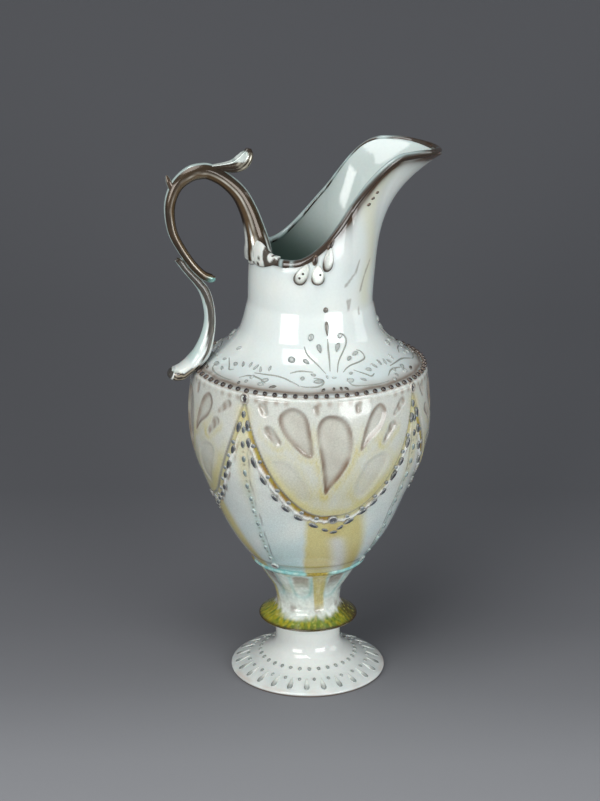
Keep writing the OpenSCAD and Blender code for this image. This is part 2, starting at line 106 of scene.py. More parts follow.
# %% [markdown]
# ## The wall as one line
#
# A potter reads a pot by its profile. The line below is the outer wall as pairs of height and radius in
# millimetres, from the table to the root of the neck. A smooth curve through the points is worked out once
# as a fine list, and every later step asks that list for the radius and for the tilt of the wall.

# %% The profile
def spline(points, steps=12):
    """A Catmull-Rom curve: between two points the path leaves and arrives parallel to the neighbours'
    chord."""
    p = np.array(points, float)
    p = np.vstack([2 * p[0] - p[1], p, 2 * p[-1] - p[-2]])
    t = np.linspace(0, 1, steps, endpoint=False)[:, None]
    a, b, c, d = p[:-3, None], p[1:-2, None], p[2:-1, None], p[3:, None]
    q = (2 * b + (c - a) * t + (2 * a - 5 * b + 4 * c - d) * t**2 + (3 * b - a - 3 * c + d) * t**3) / 2
    return np.vstack([q.reshape(-1, p.shape[1]), p[-2]])


FOOT = [
    (0, 47.6), (0.7, 48), (2, 48), (3.3, 46), (4.3, 43.9), (7, 37), (10, 30.5), (13, 25.5), (16, 22.1),
    (20, 20.3), (26, 20.2), (33.4, 20.2),
]
STEM = [
    (33.4, 20.2), (34.2, 21.6), (35, 26), (35.6, 29.6), (36.1, 30.6), (36.8, 30.3), (38, 28.2), (40, 25.2),
    (42, 22.5), (44, 20.7), (46, 19.8), (49, 19.9), (52, 20.5), (57, 22.1), (63, 25.9), (70, 30.3),
    (73.6, 32.8), (74.3, 34.4), (75.5, 35.5), (76.4, 35.5), (77, 35.4),
]
BOWL = [
    (77, 35.4), (80, 37.5), (86, 42.1), (92, 46.2), (98.5, 50), (105, 53.2), (112.5, 56.4), (120, 59.4),
    (127.5, 62.6), (135, 65.5), (142, 68.3), (150, 70.6), (156, 71.7), (162, 72.4), (172, 72.8), (180, 72.3),
    (188, 71.5), (193, 70.8), (197, 70.3), (199, 70), (200, 69.5),
]
SHOULDER = [
    (200, 69.5), (200.7, 68.2), (201.5, 66.6), (203, 64.1), (205, 61.1), (207, 58.2), (209, 55.4),
    (211, 52.8), (213.2, 49.9), (216, 46.9), (218.8, 44.5), (222, 42.4), (226, 40.9), (230, 39.8),
    (235, 38.6), (240, 37.3),
]
LINE = np.vstack([spline(s)[:-1] for s in (FOOT, STEM, BOWL, SHOULDER)])
LINE = LINE[np.argsort(LINE[:, 0], kind="stable")]


def radius(z):
    """The wall's outer radius in mm at a height in mm, read off the fine profile."""
    return np.interp(z, LINE[:, 0], LINE[:, 1])


print("profile points:", len(LINE), "widest radius in mm:", round(float(LINE[:, 1].max()), 1))

# %% [markdown]
# ## The lip
#
# Above 240 mm the wall stops being round. Seen from above, its edge is a circle at the back that runs out
# into a rounded spout; seen from the side it climbs from the rim to the tip. The wall goes from the round
# root to that edge along a flare that stays nearly straight and turns out at the end, so one function of an
# angle and a height serves the whole outside, root to tip, and ornament can be laid anywhere on it.

# %% The lip and any point of the wall
ROOT, NECK_R = 240.0, 37.3  # height where the neck stops being round, and its radius there
RIM_Z, RIM_R = 270.6, 35.4  # height of the rim at the back, and its distance from the axis
REACH, TIP_RISE = 79.1, 58.5  # how far out the tip of the spout lies, and how far the lip climbs to it
SPAN = 0.8  # the height over which the tilt of the wall is measured
# How far the lip has run out from the rim to the tip, as a share, against degrees from the spout.
LIP = spline([
    (0, 1), (4, 0.985), (9, 0.915), (13, 0.845), (17, 0.765), (23, 0.63), (29, 0.5), (36, 0.37), (42, 0.245),
    (50, 0.1), (59, 0.015), (70, 0), (125, 0), (180, 0),
])


def smooth(x):
    """Nought below nought, one above one, and an even S between them."""
    x = np.clip(x, 0, 1)
    return x * x * (3 - 2 * x)


def from_spout(a):
    """Degrees from the spout to either side, up to 180 at the handle."""
    return np.abs((a + 180) % 360 - 180)


def lip_r(a):
    """Distance of the lip from the axis: the rim's, plus the share of the reach that the list gives."""
    return RIM_R + (REACH - RIM_R) * np.interp(from_spout(a), LIP[:, 0], LIP[:, 1])


def lip_z(a):
    """Height of the lip: the rim, plus a smooth climb along the spout, less a dip at the tip."""
    x = lip_r(a) * np.cos(np.radians(a)) / REACH
    return RIM_Z + TIP_RISE * smooth((x + 0.25) / 0.91) - 4 * np.clip((x - 0.73) / 0.27, 0, None) ** 2


def wall_r(a, z):
    """Radius of the outer wall. Above the root it grows with the share t of the climb to the lip: 0.15 of
    the growth follows t and 0.85 its fourth power, so the flare stays nearly straight and turns out at the
    end."""
    t = np.clip((z - ROOT) / (lip_z(a) - ROOT), 0, 1)
    flare = 0.15 * t + 0.85 * t**4
    return np.where(z <= ROOT, radius(z), NECK_R + (lip_r(a) - NECK_R) * flare)


def on_wall(a, z, h=0.0):
    """A point h mm out of the wall at angle a and height z: across and up are shared out by the wall's
    tilt."""
    a, z, h = np.broadcast_arrays(np.asarray(a, float), np.asarray(z, float), np.asarray(h, float))
    tilt = np.arctan2(wall_r(a, z - SPAN / 2) - wall_r(a, z + SPAN / 2), SPAN)
    at_lip = z > lip_z(a) - 0.6
    tilt = np.where(at_lip, np.arctan2(wall_r(a, z - SPAN) - wall_r(a, z), SPAN), tilt)
    r = wall_r(a, z) + h * np.cos(tilt)
    out = np.stack([r * np.cos(np.radians(a)), r * np.sin(np.radians(a)), z + h * np.sin(tilt)], -1)
    return out * MM


print("tip of the lip in mm:", np.round(on_wall(0, lip_z(np.array(0.0))) / MM, 1))

# %% [markdown]
# ## From a grid to a mesh
#
# All surfaces come through one door. It takes grids of points, joins neighbours with four-sided faces, and
# closes the columns round. The rows either close round too, as in a ring, or end in a cap. A colour for
# each point goes in as an attribute, which the glaze reads later. Several equal grids, such as all the
# beads, come as one stack.

# %% Grid to mesh
def stitch(count, rows, cols, ring):
    """Faces of stacked grids. A quad joins a point, its right neighbour and the two above; a cap is a
    fan."""
    i = np.arange(cols)
    k = (i + 1) % cols
    j = np.arange(rows if ring else rows - 1)[:, None]
    up = (j + 1) % rows
    quads = np.stack([j * cols + i, j * cols + k, up * cols + k, up * cols + i], -1).reshape(-1, 4)
    size, last = rows * cols, (rows - 1) * cols
    hub = np.full(cols, size)
    fans = [[hub, k, i], [hub + 1, last + i, last + k]]
    tris = np.zeros((0, 3), int) if ring else np.vstack([np.stack(f, -1) for f in fans])
    step = np.arange(count)[:, None, None] * (size + (0 if ring else 2))
    return (quads + step).reshape(-1, 4), (tris + step).reshape(-1, 3)


def make(name, sheets, replaces, material):
    """One piece from sheets of (points, colours, ring). Points are (rows, cols, 3) in metres or a stack of
    those. The piece rides on the body and takes the place of the CAD nodes that are named."""
    points, tints, quads, tris, start = [], [], [], [], 0
    for grid, colour, ring in sheets:
        grid = grid if grid.ndim == 4 else grid[None]
        count, rows, cols = grid.shape[:3]
        colour = np.broadcast_to(colour, grid.shape)
        for store, data in ((points, grid), (tints, colour)):
            flat = data.reshape(count, rows * cols, 3)
            ends = np.stack([data[:, 0].mean(1), data[:, -1].mean(1)], 1)
            store.append((flat if ring else np.concatenate([flat, ends], 1)).reshape(-1, 3))
        q, t = stitch(count, rows, cols, ring)
        quads.append(q + start)
        tris.append(t + start)
        start += len(points[-1])
    points, tints, quads, tris = (np.vstack(v) for v in (points, tints, quads, tris))
    mesh = bpy.data.meshes.new(name)
    mesh.vertices.add(len(points))
    mesh.vertices.foreach_set("co", points.astype(np.float32).ravel())
    loops = np.concatenate([quads.ravel(), tris.ravel()])
    mesh.loops.add(len(loops))
    mesh.loops.foreach_set("vertex_index", loops.astype(np.int32))
    mesh.polygons.add(len(quads) + len(tris))
    starts = np.concatenate([np.arange(len(quads)) * 4, len(quads) * 4 + np.arange(len(tris)) * 3])
    mesh.polygons.foreach_set("loop_start", starts.astype(np.int32))
    mesh.polygons.foreach_set("use_smooth", np.ones(len(starts), bool))
    mesh.update(calc_edges=True)
    mesh.validate()
    layer = mesh.attributes.new("tint", "FLOAT_COLOR", "POINT")
    layer.data.foreach_set("color", np.hstack([tints, np.ones((len(tints), 1))]).astype(np.float32).ravel())
    mesh.materials.append(material)
    obj = bpy.data.objects.new(name, mesh)
    bpy.context.scene.collection.objects.link(obj)
    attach(obj, "root")
    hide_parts(*replaces)
    print(f"{name}: {len(points)} points, {2 * len(quads) + len(tris)} triangles")


def join(*parts):
    """Grids laid row after row as one, each with its own colour: (points, colour) pairs in, one such pair
    out."""
    tints = [np.broadcast_to(colour, points.shape) for points, colour in parts]
    return np.concatenate([points for points, colour in parts]), np.concatenate(tints)

# %% [markdown]
# ## Colour by numbers
#
# Glaze colours are written as they look on screen, from 0 to 255, and turned into the linear light that
# Cycles works with. Mixing is a weighted mean. A cheap wavy noise made of a few sines gives the uneven
# edges of runs of glaze, the same at every run.

# %% Colour helpers
def rgb(r, g, b):
    """Screen colour to linear light: a straight line near black, then a power of 2.4."""
    c = np.array([r, g, b]) / 255
    return np.where(c <= 0.04045, c / 12.92, ((c + 0.055) / 1.055) ** 2.4)


def mix(base, colour, amount):
    """A weighted mean: base times one minus the amount, plus colour times the amount, from 0 to 1."""
    amount = np.clip(amount, 0, 1)[..., None]
    return base * (1 - amount) + np.asarray(colour) * amount


def waves(x, y, scale, seed):
    """A fifth of the sum of nine sines of two variables, with directions, phases and steps from a seeded
    list."""
    rng = np.random.default_rng(seed)
    total = np.zeros(np.broadcast(x, y).shape)
    for angle, phase, step in zip(rng.uniform(0, 6.28, 9), rng.uniform(0, 6.28, 9), rng.uniform(0.6, 1.9, 9)):
        total += np.sin((x * math.cos(angle) + y * math.sin(angle)) * step / scale * 6.28 + phase)
    return total / 5


def bump(d, width):
    """A smooth hill of height one round d = 0: e to the power of minus the square of d over the width."""
    return np.exp(-((d / width) ** 2))


def rise(x, start, over):
    """Nought up to the start, then an even S that reaches one after the given length."""
    return smooth((x - start) / over)


def fall(x, end, over):
    """The mirror of rise: an even S from one down to nought, over the given length before the end."""
    return smooth((end - x) / over)


print("white glaze in linear light:", np.round(rgb(226, 232, 229), 3))

# %% [markdown]
# ## Glaze
#
# Fired glaze is a thin glassy coat over white clay: the colour comes from below, the shine from a smooth
# top. A principled shader does both. The painted tint is broken up with a fine noise, as glaze crystals do,
# a wide noise makes the shine a little uneven, and a very slight bump keeps reflections from looking like
# plastic.

# %% The glaze material
def node(tree, kind, **settings):
    """A shader node. Each setting is the name of an input, with _ for a space, and its value."""
    new = tree.nodes.new("ShaderNode" + kind)
    for key, value in settings.items():
        new.inputs[key.replace("_", " ")].default_value = value
    return new


def glaze(name, rough, speckle, speckle_scale, ripple_strength, metallic=0.0, through=0.06):
    """Tint times one plus or minus a fine noise, under a smooth coat. A wide noise moves the roughness from
    0.7 to 1.4 of its value, and raises a bump of up to a millimetre by its strength."""
    m = bpy.data.materials.new(name)
    m.use_nodes = True
    tree = m.node_tree
    tree.nodes.clear()
    place = node(tree, "TexCoord")
    tint = node(tree, "Attribute")
    tint.attribute_name = "tint"
    fine = node(tree, "TexNoise", Scale=speckle_scale, Detail=3)
    span = node(tree, "MapRange", To_Min=1 - speckle * 2.2, To_Max=1 + speckle * 2.2)
    grain = node(tree, "VectorMath")
    grain.operation = "SCALE"
    wide = node(tree, "TexNoise", Scale=60, Detail=2)
    shine = node(tree, "MapRange", To_Min=rough * 0.7, To_Max=rough * 1.4)
    ripple = node(tree, "Bump", Strength=ripple_strength, Distance=MM)
    shader = node(tree, "BsdfPrincipled", Metallic=metallic, IOR=1.5, Coat_Weight=0.5, Coat_Roughness=0.04)
    shader.inputs["Subsurface Weight"].default_value = through
    shader.inputs["Subsurface Scale"].default_value = 2 * MM
    out = node(tree, "OutputMaterial")
    for source, plug, target, socket in [
        (place, "Object", fine, "Vector"),
        (place, "Object", wide, "Vector"),
        (fine, "Fac", span, "Value"),
        (tint, "Color", grain, "Vector"),
        (span, "Result", grain, "Scale"),
        (grain, "Vector", shader, "Base Color"),
        (wide, "Fac", shine, "Value"),
        (shine, "Result", shader, "Roughness"),
        (wide, "Fac", ripple, "Height"),
        (ripple, "Normal", shader, "Normal"),
        (shader, "BSDF", out, "Surface"),
    ]:
        tree.links.new(source.outputs[plug], target.inputs[socket])
    return m


porcelain = glaze("porcelain_glaze", 0.12, 0.02, 700, 0.05)
crystal = glaze("crystal_glaze", 0.13, 0.12, 1200, 0.06)
bronze = glaze("bronze_glaze", 0.2, 0.12, 500, 0.12, metallic=0.35, through=0.0)
green = glaze("green_glaze", 0.1, 0.16, 420, 0.1)
print("glazes:", [m.name for m in (porcelain, crystal, bronze, green)])

# %% [markdown]
# ## The swag and the wells above it
#
# Four swags hang round the belly. Each is the same curve of height over the angle from its middle: flat in
# the middle and steep where it rises to the medallions. The apron above the curve is carved with wells. A
# large well is a smooth closed outline and a small one a short tapered stroke, and the distance into it
# says both how deep the carving is and where the brown glaze gathers along its edge.

# %% Swag curve, wells and strokes
SWAGS, BEADS = 4, 72  # swags round the belly, and beads round the shoulder
HALF = 180 / SWAGS  # degrees from the middle of a swag to its end
SWAG_LOW, SWAG_RISE, SWAG_POWER = 124, 72, 2.6  # its lowest height, its climb and how late it climbs
RADIAN = 57.3  # degrees in a radian, near enough for places of paint
BELLY_R = 72.0  # the bowl's radius where the wells lie


def swag(d):
    """Height of the apron's lower edge: the lowest, plus the climb times a power of the share of the way
    out."""
    return SWAG_LOW + SWAG_RISE * (np.abs(d) / HALF) ** SWAG_POWER


def panel(a):
    """Angle from the middle of the nearest swag: what is left after whole swags."""
    return (a + HALF) % (2 * HALF) - HALF


def along(d, z):
    """Length in mm round the wall for an angle in degrees: the angle in radians times the radius at that
    height."""
    return d * radius(z) / RADIAN


def stroke(x, y, x0, y0, x1, y1, w0, w1):
    """Signed distance into a stroke: its width at the nearest place of the line, less the distance from the
    line."""
    dx, dy = x1 - x0, y1 - y0
    t = np.clip(((x - x0) * dx + (y - y0) * dy) / (dx * dx + dy * dy), 0, 1)
    return w0 + (w1 - w0) * t - np.hypot(x - x0 - t * dx, y - y0 - t * dy)


def depth_in(x, y, points):
    """Signed distance into a smooth closed curve: nearest side, and a point is inside if a ray crosses odd
    sides."""
    n, steps = len(points), 4
    p = spline(list(points[-2:]) + list(points) + list(points[:2]), steps)[2 * steps : (n + 2) * steps]
    near, inside = np.full(x.shape, 99.0), np.zeros(x.shape, bool)
    for (x0, y0), (x1, y1) in zip(p, np.roll(p, -1, axis=0)):
        near = np.minimum(near, -stroke(x, y, x0, y0, x1, y1, 0, 0))
        if y0 != y1:
            inside ^= ((y0 > y) != (y1 > y)) & (x < x0 + (x1 - x0) * (y - y0) / (y1 - y0))
    return np.where(inside, near, -near)


# Wells as (depth, strength of the brown edge, outline); an outline is pairs of degrees from the middle and
# height.
WELLS = [
    (1.0, 1.0, [
        (-9.9, 177), (-9.2, 185), (-5.2, 190), (1.8, 188.5), (6, 182), (7.2, 172), (5.4, 161), (1.4, 152),
        (-2.8, 144.8), (-5, 140.6), (-6.2, 148), (-7.8, 162),
    ]),
    (0.9, 0.8, [
        (-27.4, 187), (-25.2, 192), (-20, 194.6), (-14.3, 190), (-12.2, 178), (-11.4, 166.5), (-14.5, 165),
        (-20.5, 171.5), (-25.4, 179),
    ]),
    (0.6, 0.8, [
        (16.6, 190), (21.4, 193.9), (25, 188.7), (22.8, 180.3), (15.9, 173), (10.7, 167.2), (12.7, 179.4),
    ]),
    (0.4, 0.0, [(23, 164.5), (27, 157.5), (15, 135.5), (8.2, 141.6), (13.5, 159)]),
    (0.3, 0.0, [(-31.5, 160.3), (-22, 161.5), (-11.5, 141.7), (-14.8, 133), (-24.9, 144.5)]),
]
# Small oval wells as strokes: both ends in degrees and height, then both half widths in mm.
OVALS = [
    (-34.8, 193.2, -34, 190, 3.0, 2.6), (-32, 179.5, -27.8, 173.4, 3.6, 2.4),
    (35, 191, 30.2, 185.4, 2.9, 1.6), (28.6, 178.6, 23.4, 170.4, 3.2, 1.4),
    (-10, 194.2, -10, 191.6, 2.2, 2.2), (9.9, 194, 9.9, 191.4, 2.2, 2.2),
]


def wells(d, z):
    """Deepest well at each point: its depth from 0 to 1, the brown along its edge, and the rim just outside
    it."""
    x, scale = along(d, z), BELLY_R / RADIAN
    deep, brown, rim = np.zeros((3, *d.shape))
    for depth, dark, outline in WELLS:
        p = np.array(outline, float) * [scale, 1]
        s, low = depth_in(x, z, p), p[:, 1].min()
        deep = np.maximum(deep, depth * smooth((s + 0.3) / 3.4))
        weight = 0.62 + 0.38 * smooth((low + 34 - z) / 22) - 0.3 * waves(x, z, 17, 33)
        brown = np.maximum(brown, dark * weight * smooth((s + 0.5) / 1.1) * fall(s, 4.2, 3.6))
        rim = np.maximum(rim, (0.35 + 0.65 * smooth(dark)) * bump(s + 2.0, 2.4))
    for x0, y0, x1, y1, w0, w1 in OVALS:
        s = stroke(x, z, x0 * scale, y0, x1 * scale, y1, w0, w1)
        deep = np.maximum(deep, 0.5 * smooth((s + 0.3) / 2.8))
        brown = np.maximum(brown, smooth((s + 0.6) / 1.6) * (0.45 + 0.25 * np.sin(x * 1.1 + z * 0.4)))
        rim = np.maximum(rim, bump(s + 1.8, 2.0))
    return deep, brown, rim


print("wells on each apron:", len(WELLS) + len(OVALS))

# %% [markdown]
# ## The paint of the bowl
#
# The bowl wears four kinds of glaze. Thin blue-white runs down the belly between straw-coloured drips,
# which start under the middle of each swag. The apron is cream with taupe wells. The groove under it is
# filled with amber and olive, and beside it lies a white rope. Each is a function that lays its colours
# over what is there already.

# %% Paint of the belly, the aprons, the grooves and the ribs
def belly_paint(d, x, z, out):
    """Blue-white, bluer lower down, under straw drips with a gap right of the middle. The drips spread
    between two slanted edges. Gives the colour, the share of drip and the grain in it."""
    white = mix(rgb(216, 222, 216), rgb(190, 210, 212), fall(z, 150, 60) * (0.5 + 0.4 * waves(x, z, 30, 8)))
    white = mix(white, rgb(158, 196, 198), fall(z, 112, 30) * smooth((-d - 8) / 20) * 0.6)
    grain = waves(x, z, 2.6, 11) * 0.35 + waves(x, z * 0.4, 12, 12) * 0.5
    left = -17.5 - (117.5 - z) * 0.05 + 0.7 * waves(z, d, 18, 2)
    right = 25.5 + (116 - z) * 0.36
    drip = smooth((d - left + 1.2 * grain) / 5) * smooth((right - d) / 9) * rise(out, 3.5, 3)
    gap = bump((d - 5 - (105 - z) * 0.38) / (6.5 + (105 - z) * 0.09), 0.75) * fall(z, 110, 7)
    straw = mix(rgb(202, 192, 130), rgb(184, 162, 80), fall(z, 110, 36) * 0.55 + 0.35 * grain)
    colour = mix(white, straw, drip * (0.95 - 0.7 * gap))
    colour = mix(colour, rgb(206, 202, 200), drip * gap * 0.5)
    return mix(colour, rgb(178, 146, 66), bump(x - 1, 4) * bump(z - 113, 5) * 0.45), drip, grain


def apron_paint(colour, a, d, x, z, out, apron, grain, carved):
    """Cream that yellows lower down and on the rims of the wells, taupe in the wells, brown along their
    edges, and a row of brown spots, one to a bead."""
    deep, brown, rim = carved
    cream = mix(rgb(200, 203, 195), rgb(194, 190, 152), fall(z, 178, 44) * (0.5 + 0.6 * grain))
    cream = mix(cream, rgb(196, 184, 108), rim * fall(z, 192, 30) * (0.42 + 0.7 * grain))
    cream = mix(cream, rgb(198, 186, 96), bump(out + 2.5, 3.5) * fall(z, 176, 30) * 0.5)
    colour = mix(colour, cream, apron)
    taupe = mix(rgb(178, 174, 162), rgb(194, 194, 182), 0.5 + 0.5 * waves(x, z, 22, 31))
    colour = mix(colour, taupe, deep * apron * 0.9)
    colour = mix(colour, rgb(112, 88, 68), brown * apron * 0.9)
    spots = bump((z - 196.4) / 1.5, 1) * smooth(np.sin(np.radians(a * BEADS)) * 0.6 + 0.4)
    spots = spots * smooth(0.6 - 0.9 * waves(d, 0, 24, 35))
    return mix(colour, rgb(134, 108, 88), spots * 0.6 + 0.55 * rise(z, 198.3, 1.6))


def groove_paint(colour, d, z, out, wind, calm):
    """Olive in the groove, stronger left of the middle and browner where it pools, a dark line at the
    apron's edge, brown on both sides of the rope, and the rope in white."""
    strong = smooth((6 - d) / 10) * smooth((44 - np.abs(d)) / 2)
    pool = smooth(waves(d * 1.6, z * 0.15, 9, 41) * 1.1 + 0.35 + 0.5 * bump(d + 13, 7))
    olive = mix(rgb(196, 184, 84), rgb(160, 140, 34), strong * 0.8)
    olive = mix(olive, rgb(152, 116, 38), pool * (0.25 + 0.6 * strong))
    olive = mix(olive, rgb(110, 82, 26), bump(d + 11, 5) * 0.6)
    cover = rise(out, 0.2, 0.6) * fall(out, 3.9, 1.0) * (0.62 + 0.36 * strong) * (0.8 + 0.2 * calm)
    colour = mix(colour, olive, cover)
    colour = mix(colour, rgb(92, 84, 78), bump(out - 0.1, 0.6) * (0.75 + 0.25 * waves(d, 0, 15, 36)))
    flanks = (bump(wind - 1.3, 0.7) + 0.6 * bump(wind + 1.3, 0.6)) * calm * (0.45 + 0.4 * waves(d, 0, 8, 43))
    colour = mix(colour, rgb(128, 104, 84), flanks)
    return mix(colour, rgb(232, 234, 230), bump(wind, 0.75) * calm * 0.95)


def rib_paint(colour, z, rib, line, drip):
    """Straw and pale green beside the rib, dashes between its drops, a thin dark line, and rings at the
    foot of the bowl that end in turquoise."""
    colour = mix(colour, rgb(204, 190, 120), bump(rib + 1.5, 4) * fall(z, 196, 8) * rise(z, 118, 40) * 0.5)
    colour = mix(colour, rgb(170, 196, 190), bump(rib, 2.2) * fall(z, 150, 20) * 0.5)
    dashes = bump(rib, 0.8) * smooth(np.sin(z * 1.7 + np.sin(z * 0.3)) * 1.6)
    colour = mix(colour, rgb(124, 124, 102), dashes * fall(z, 174, 14) * rise(z, 86, 4) * 0.75)
    colour = mix(colour, rgb(84, 78, 78), line * 0.75)
    colour = mix(colour, rgb(104, 150, 146), bump(z - 80.5, 0.9) * 0.6 * (1 - drip * 0.6))
    colour = mix(colour, rgb(128, 112, 88), bump(z - 81.6, 0.6) * 0.5)
    return mix(colour, rgb(126, 196, 192), fall(z, 79.6, 1.6) * (1 - 0.85 * drip) * 0.85)


print("cream of the aprons:", np.round(rgb(200, 203, 195), 3))

# %% [markdown]
# ## The bowl
#
# Relief and paint come from the same masks, so glaze and carving always meet. The apron stands 0.8 mm
# proud, the wells go back into it by up to 1.5 mm, a groove follows the swag, and the rope winds a little
# on its way beside it. Inside, the wall is the same surface one wall's thickness nearer the axis.

# %% Bowl
BOWL_FOOT, BOWL_TOP, WALL = 77, 200, 4.0  # heights where the bowl begins and ends, and the wall's thickness
ROPE = 4.1  # how far below the apron's edge the rope runs


def bowl_relief(a, z):
    """Height in mm and colour of the bowl's outside. Out is the distance below the apron's edge: the drop
    from the swag's curve over the length of its slope. Wind is the distance from the rope, which swings by
    two sines, and rib the distance from the nearest rib."""
    d = panel(a)
    x, edge = along(d, z), swag(d)
    slope = SWAG_RISE * SWAG_POWER / HALF * (np.abs(d) / HALF) ** (SWAG_POWER - 1) * RADIAN / radius(edge)
    out = (edge - z) / np.sqrt(1 + slope**2)
    carved = wells(d, z)
    apron = fall(out, 0.2, 0.9) * fall(z, 198.6, 0.9)
    calm = smooth((44 - np.abs(d)) / 3)
    wind = out - ROPE - 0.5 * np.sin(d * 1.15) - 0.25 * np.sin(d * 2.7 + 1)
    rib = along(np.abs(d) - HALF, z)
    ripple = 0.8 * np.sin(z * 0.33) + 0.5 * np.sin(z * 0.12 + 1)
    line = bump(rib + 2.9 + ripple * 0.35, 0.45) * fall(z, 172, 8) * rise(z, 84, 6) * (out > 4)
    line = line * (np.abs(np.sin(np.radians(a))) > 0.7) * smooth(0.8 + waves(x, z, 14, 37))
    h = 0.8 * apron - 1.5 * carved[0] * apron - 0.4 * bump(out - 2, 1.3)
    h = h + 0.75 * (bump(wind, 0.75) * calm) - 0.25 * bump(wind - 1.3, 0.6) * calm
    h += 0.16 * line + 0.07 * waves(x, z, 26, 5) * fall(z, 199, 3) - 0.25 * bump(z - 81.5, 0.8)
    h *= rise(z, BOWL_FOOT, 1.5) * fall(z, BOWL_TOP, 1.2)
    colour, drip, grain = belly_paint(d, x, z, out)
    colour = apron_paint(colour, a, d, x, z, out, apron, grain, carved)
    colour = groove_paint(colour, d, z, out, wind, calm)
    return h, rib_paint(colour, z, rib, line, drip)


def inside(a, z):
    """The inner face of the wall: the same angles and heights, one wall's thickness nearer the axis."""
    p = on_wall(a, z)
    r = np.hypot(p[..., 0], p[..., 1])
    p[..., :2] *= ((r - WALL * MM) / r)[..., None]
    return p


turn = np.linspace(-180, 180, 512, endpoint=False)
rows = np.interp(np.linspace(0, 1, 162), [0, 0.02, 0.24, 0.97, 1], [BOWL_FOOT, 78.2, 112, 198.6, BOWL_TOP])
A, Z = np.meshgrid(turn, rows)
h, paint = bowl_relief(A, Z)
inner = inside(*np.meshgrid(turn, np.linspace(BOWL_TOP, BOWL_FOOT, 26)))
sheet = (*join((on_wall(A, Z, h), paint), (inner, rgb(208, 220, 214))), True)
make("bowl", [sheet], ["bowl", "swag_aprons"], crystal)

# %% [markdown]
# ## Shoulder, neck and spout
#
# The shoulder sweeps in and up to the neck, and the neck opens into the pouring lip in one thrown wall. It
# is mostly plain white, so its paint is a matter of a few soft stains: brown under the lip, a fine brown
# ring outside the beads, and faint painted leaves on the side between two shallow hollows. The columns of
# the grid stand closer together at the spout, where the lip bends most.

# %% Shoulder and neck
# Painted leaves on the side of the neck: both ends of each line in degrees from the side and height.
NECK_LINES = [
    (37, 269.7, 33, 263), (33, 263, 20.5, 256), (53.5, 268.6, 47, 262), (47, 262, 39, 251.5),
    (36.3, 241.8, 35.9, 237.9), (25.7, 246.5, 23.7, 241.8), (23.7, 241.8, 22.6, 247),
    (22.6, 247, 25.7, 246.5),
]


def neck_relief(a, z):
    """Height and colour: a slight unevenness less two hollows, and white with a faint blue pool, a brown
    ring by the beads and a warm halo that fades with the distance from the lip."""
    x, side = a * 0.7, 90 - from_spout(a)
    below = np.hypot(lip_z(a) - z, lip_r(a) - wall_r(a, z))
    colour = mix(rgb(224, 229, 224), rgb(204, 217, 217), 0.3 + 0.3 * waves(x, z, 34, 51))
    colour = mix(colour, rgb(192, 206, 208), fall(z, 216, 12) * 0.4)
    warm = bump((side - 50 - 4 * np.sin(z * 0.12)) / 9, 1) * rise(z, 236, 12) * 0.4
    colour = mix(colour, rgb(218, 214, 168), warm)
    wave = 0.5 * waves(a, 0, 24, 52)
    colour = mix(colour, rgb(104, 84, 66), bump(z - 201.6 - wave, 1.0) * 0.9)
    colour = mix(colour, rgb(150, 132, 114), bump(z - 203.2 - wave, 1.6) * 0.35)
    near = smooth((side + 2) / 22) * fall(side, 100, 24)
    reach = 1.2 + 2.6 * near + 0.8 * waves(a, 0, 11, 55)
    halo = np.exp(-np.clip(below - 3.4 - 2.2 * near, 0, None) / reach)
    halo = halo * (0.5 + 0.5 * near + 0.3 * waves(a, 0, 17, 53))
    colour = mix(colour, rgb(70, 52, 36), np.clip(halo, 0, 1) * (z > 244))
    r = wall_r(a, z) / RADIAN
    lines = np.zeros_like(a)
    for a0, z0, a1, z1 in NECK_LINES:
        deep = stroke(side * r, z, a0 * r, z0, a1 * r, z1, 0.3, 0.75)
        lines = np.maximum(lines, smooth((deep + 0.6) / 0.9))
    colour = mix(colour, rgb(120, 108, 96), lines * 0.55)
    hollow = bump(np.hypot((side - 30) * 0.62, (z - 262) * 0.8), 5)
    hollow = hollow + bump(np.hypot((side - 46) * 0.62, (z - 256) * 0.8), 6)
    return 0.05 * waves(x, z, 24, 54) - 0.45 * hollow * smooth((lip_z(a) - z) / 8), colour


share = np.linspace(-1, 1, 480, endpoint=False)
turn_lip = 180 * np.sign(share) * np.abs(share) ** 1.25
A, S = np.meshgrid(turn_lip, np.concatenate([np.linspace(0, 0.96, 44), 1 + np.linspace(0, 1, 58) ** 0.8]))
Z = np.where(S < 1, BOWL_TOP + S * (ROOT - BOWL_TOP), ROOT + (S - 1) * (lip_z(A) - ROOT))
h, paint = neck_relief(A, Z)
h[0], h[-1] = 0, 0
A2, T = np.meshgrid(turn_lip, np.linspace(1, 0, 34) ** 0.8)
Z2 = ROOT + T * (lip_z(A2) - ROOT)
mouth = on_wall(A2, Z2, -WALL * (1 - 0.25 * T))
# Inside the mouth the colour is painted shade: dark low down and towards the back, pale celadon higher up
# towards the spout. The throat below is all painted shade.
SHADE = rgb(92, 112, 104)
celadon_with_painted_shade = mix(SHADE, rgb(198, 210, 206), smooth((Z2 - 254 + 0.3 * (90 - np.abs(A2))) / 42))
throat = inside(*np.meshgrid(turn_lip, np.linspace(239, BOWL_TOP, 12)))
sheet = (*join((on_wall(A, Z, h), paint), (mouth, celadon_with_painted_shade), (throat, SHADE)), True)
make("shoulder_and_neck", [sheet], ["shoulder", "neck_spout"], porcelain)

# %% [markdown]
# ## Foot, collar, calyx and belt
#
# The foot is a trumpet, hollow beneath. Above it a thin-edged collar in a running olive glaze leads to a
# pinched waist, then a fluted cup carries the bowl with a narrow turquoise belt between. Both are turned
# outlines with paint worked out over the angle and the height. Hollows are plain rings of points, closed by
# a cap.

# %% Foot and stem
FLUTES, STEM_FOOT = 8, 33.4  # flutes on the calyx, and the height where foot and stem meet


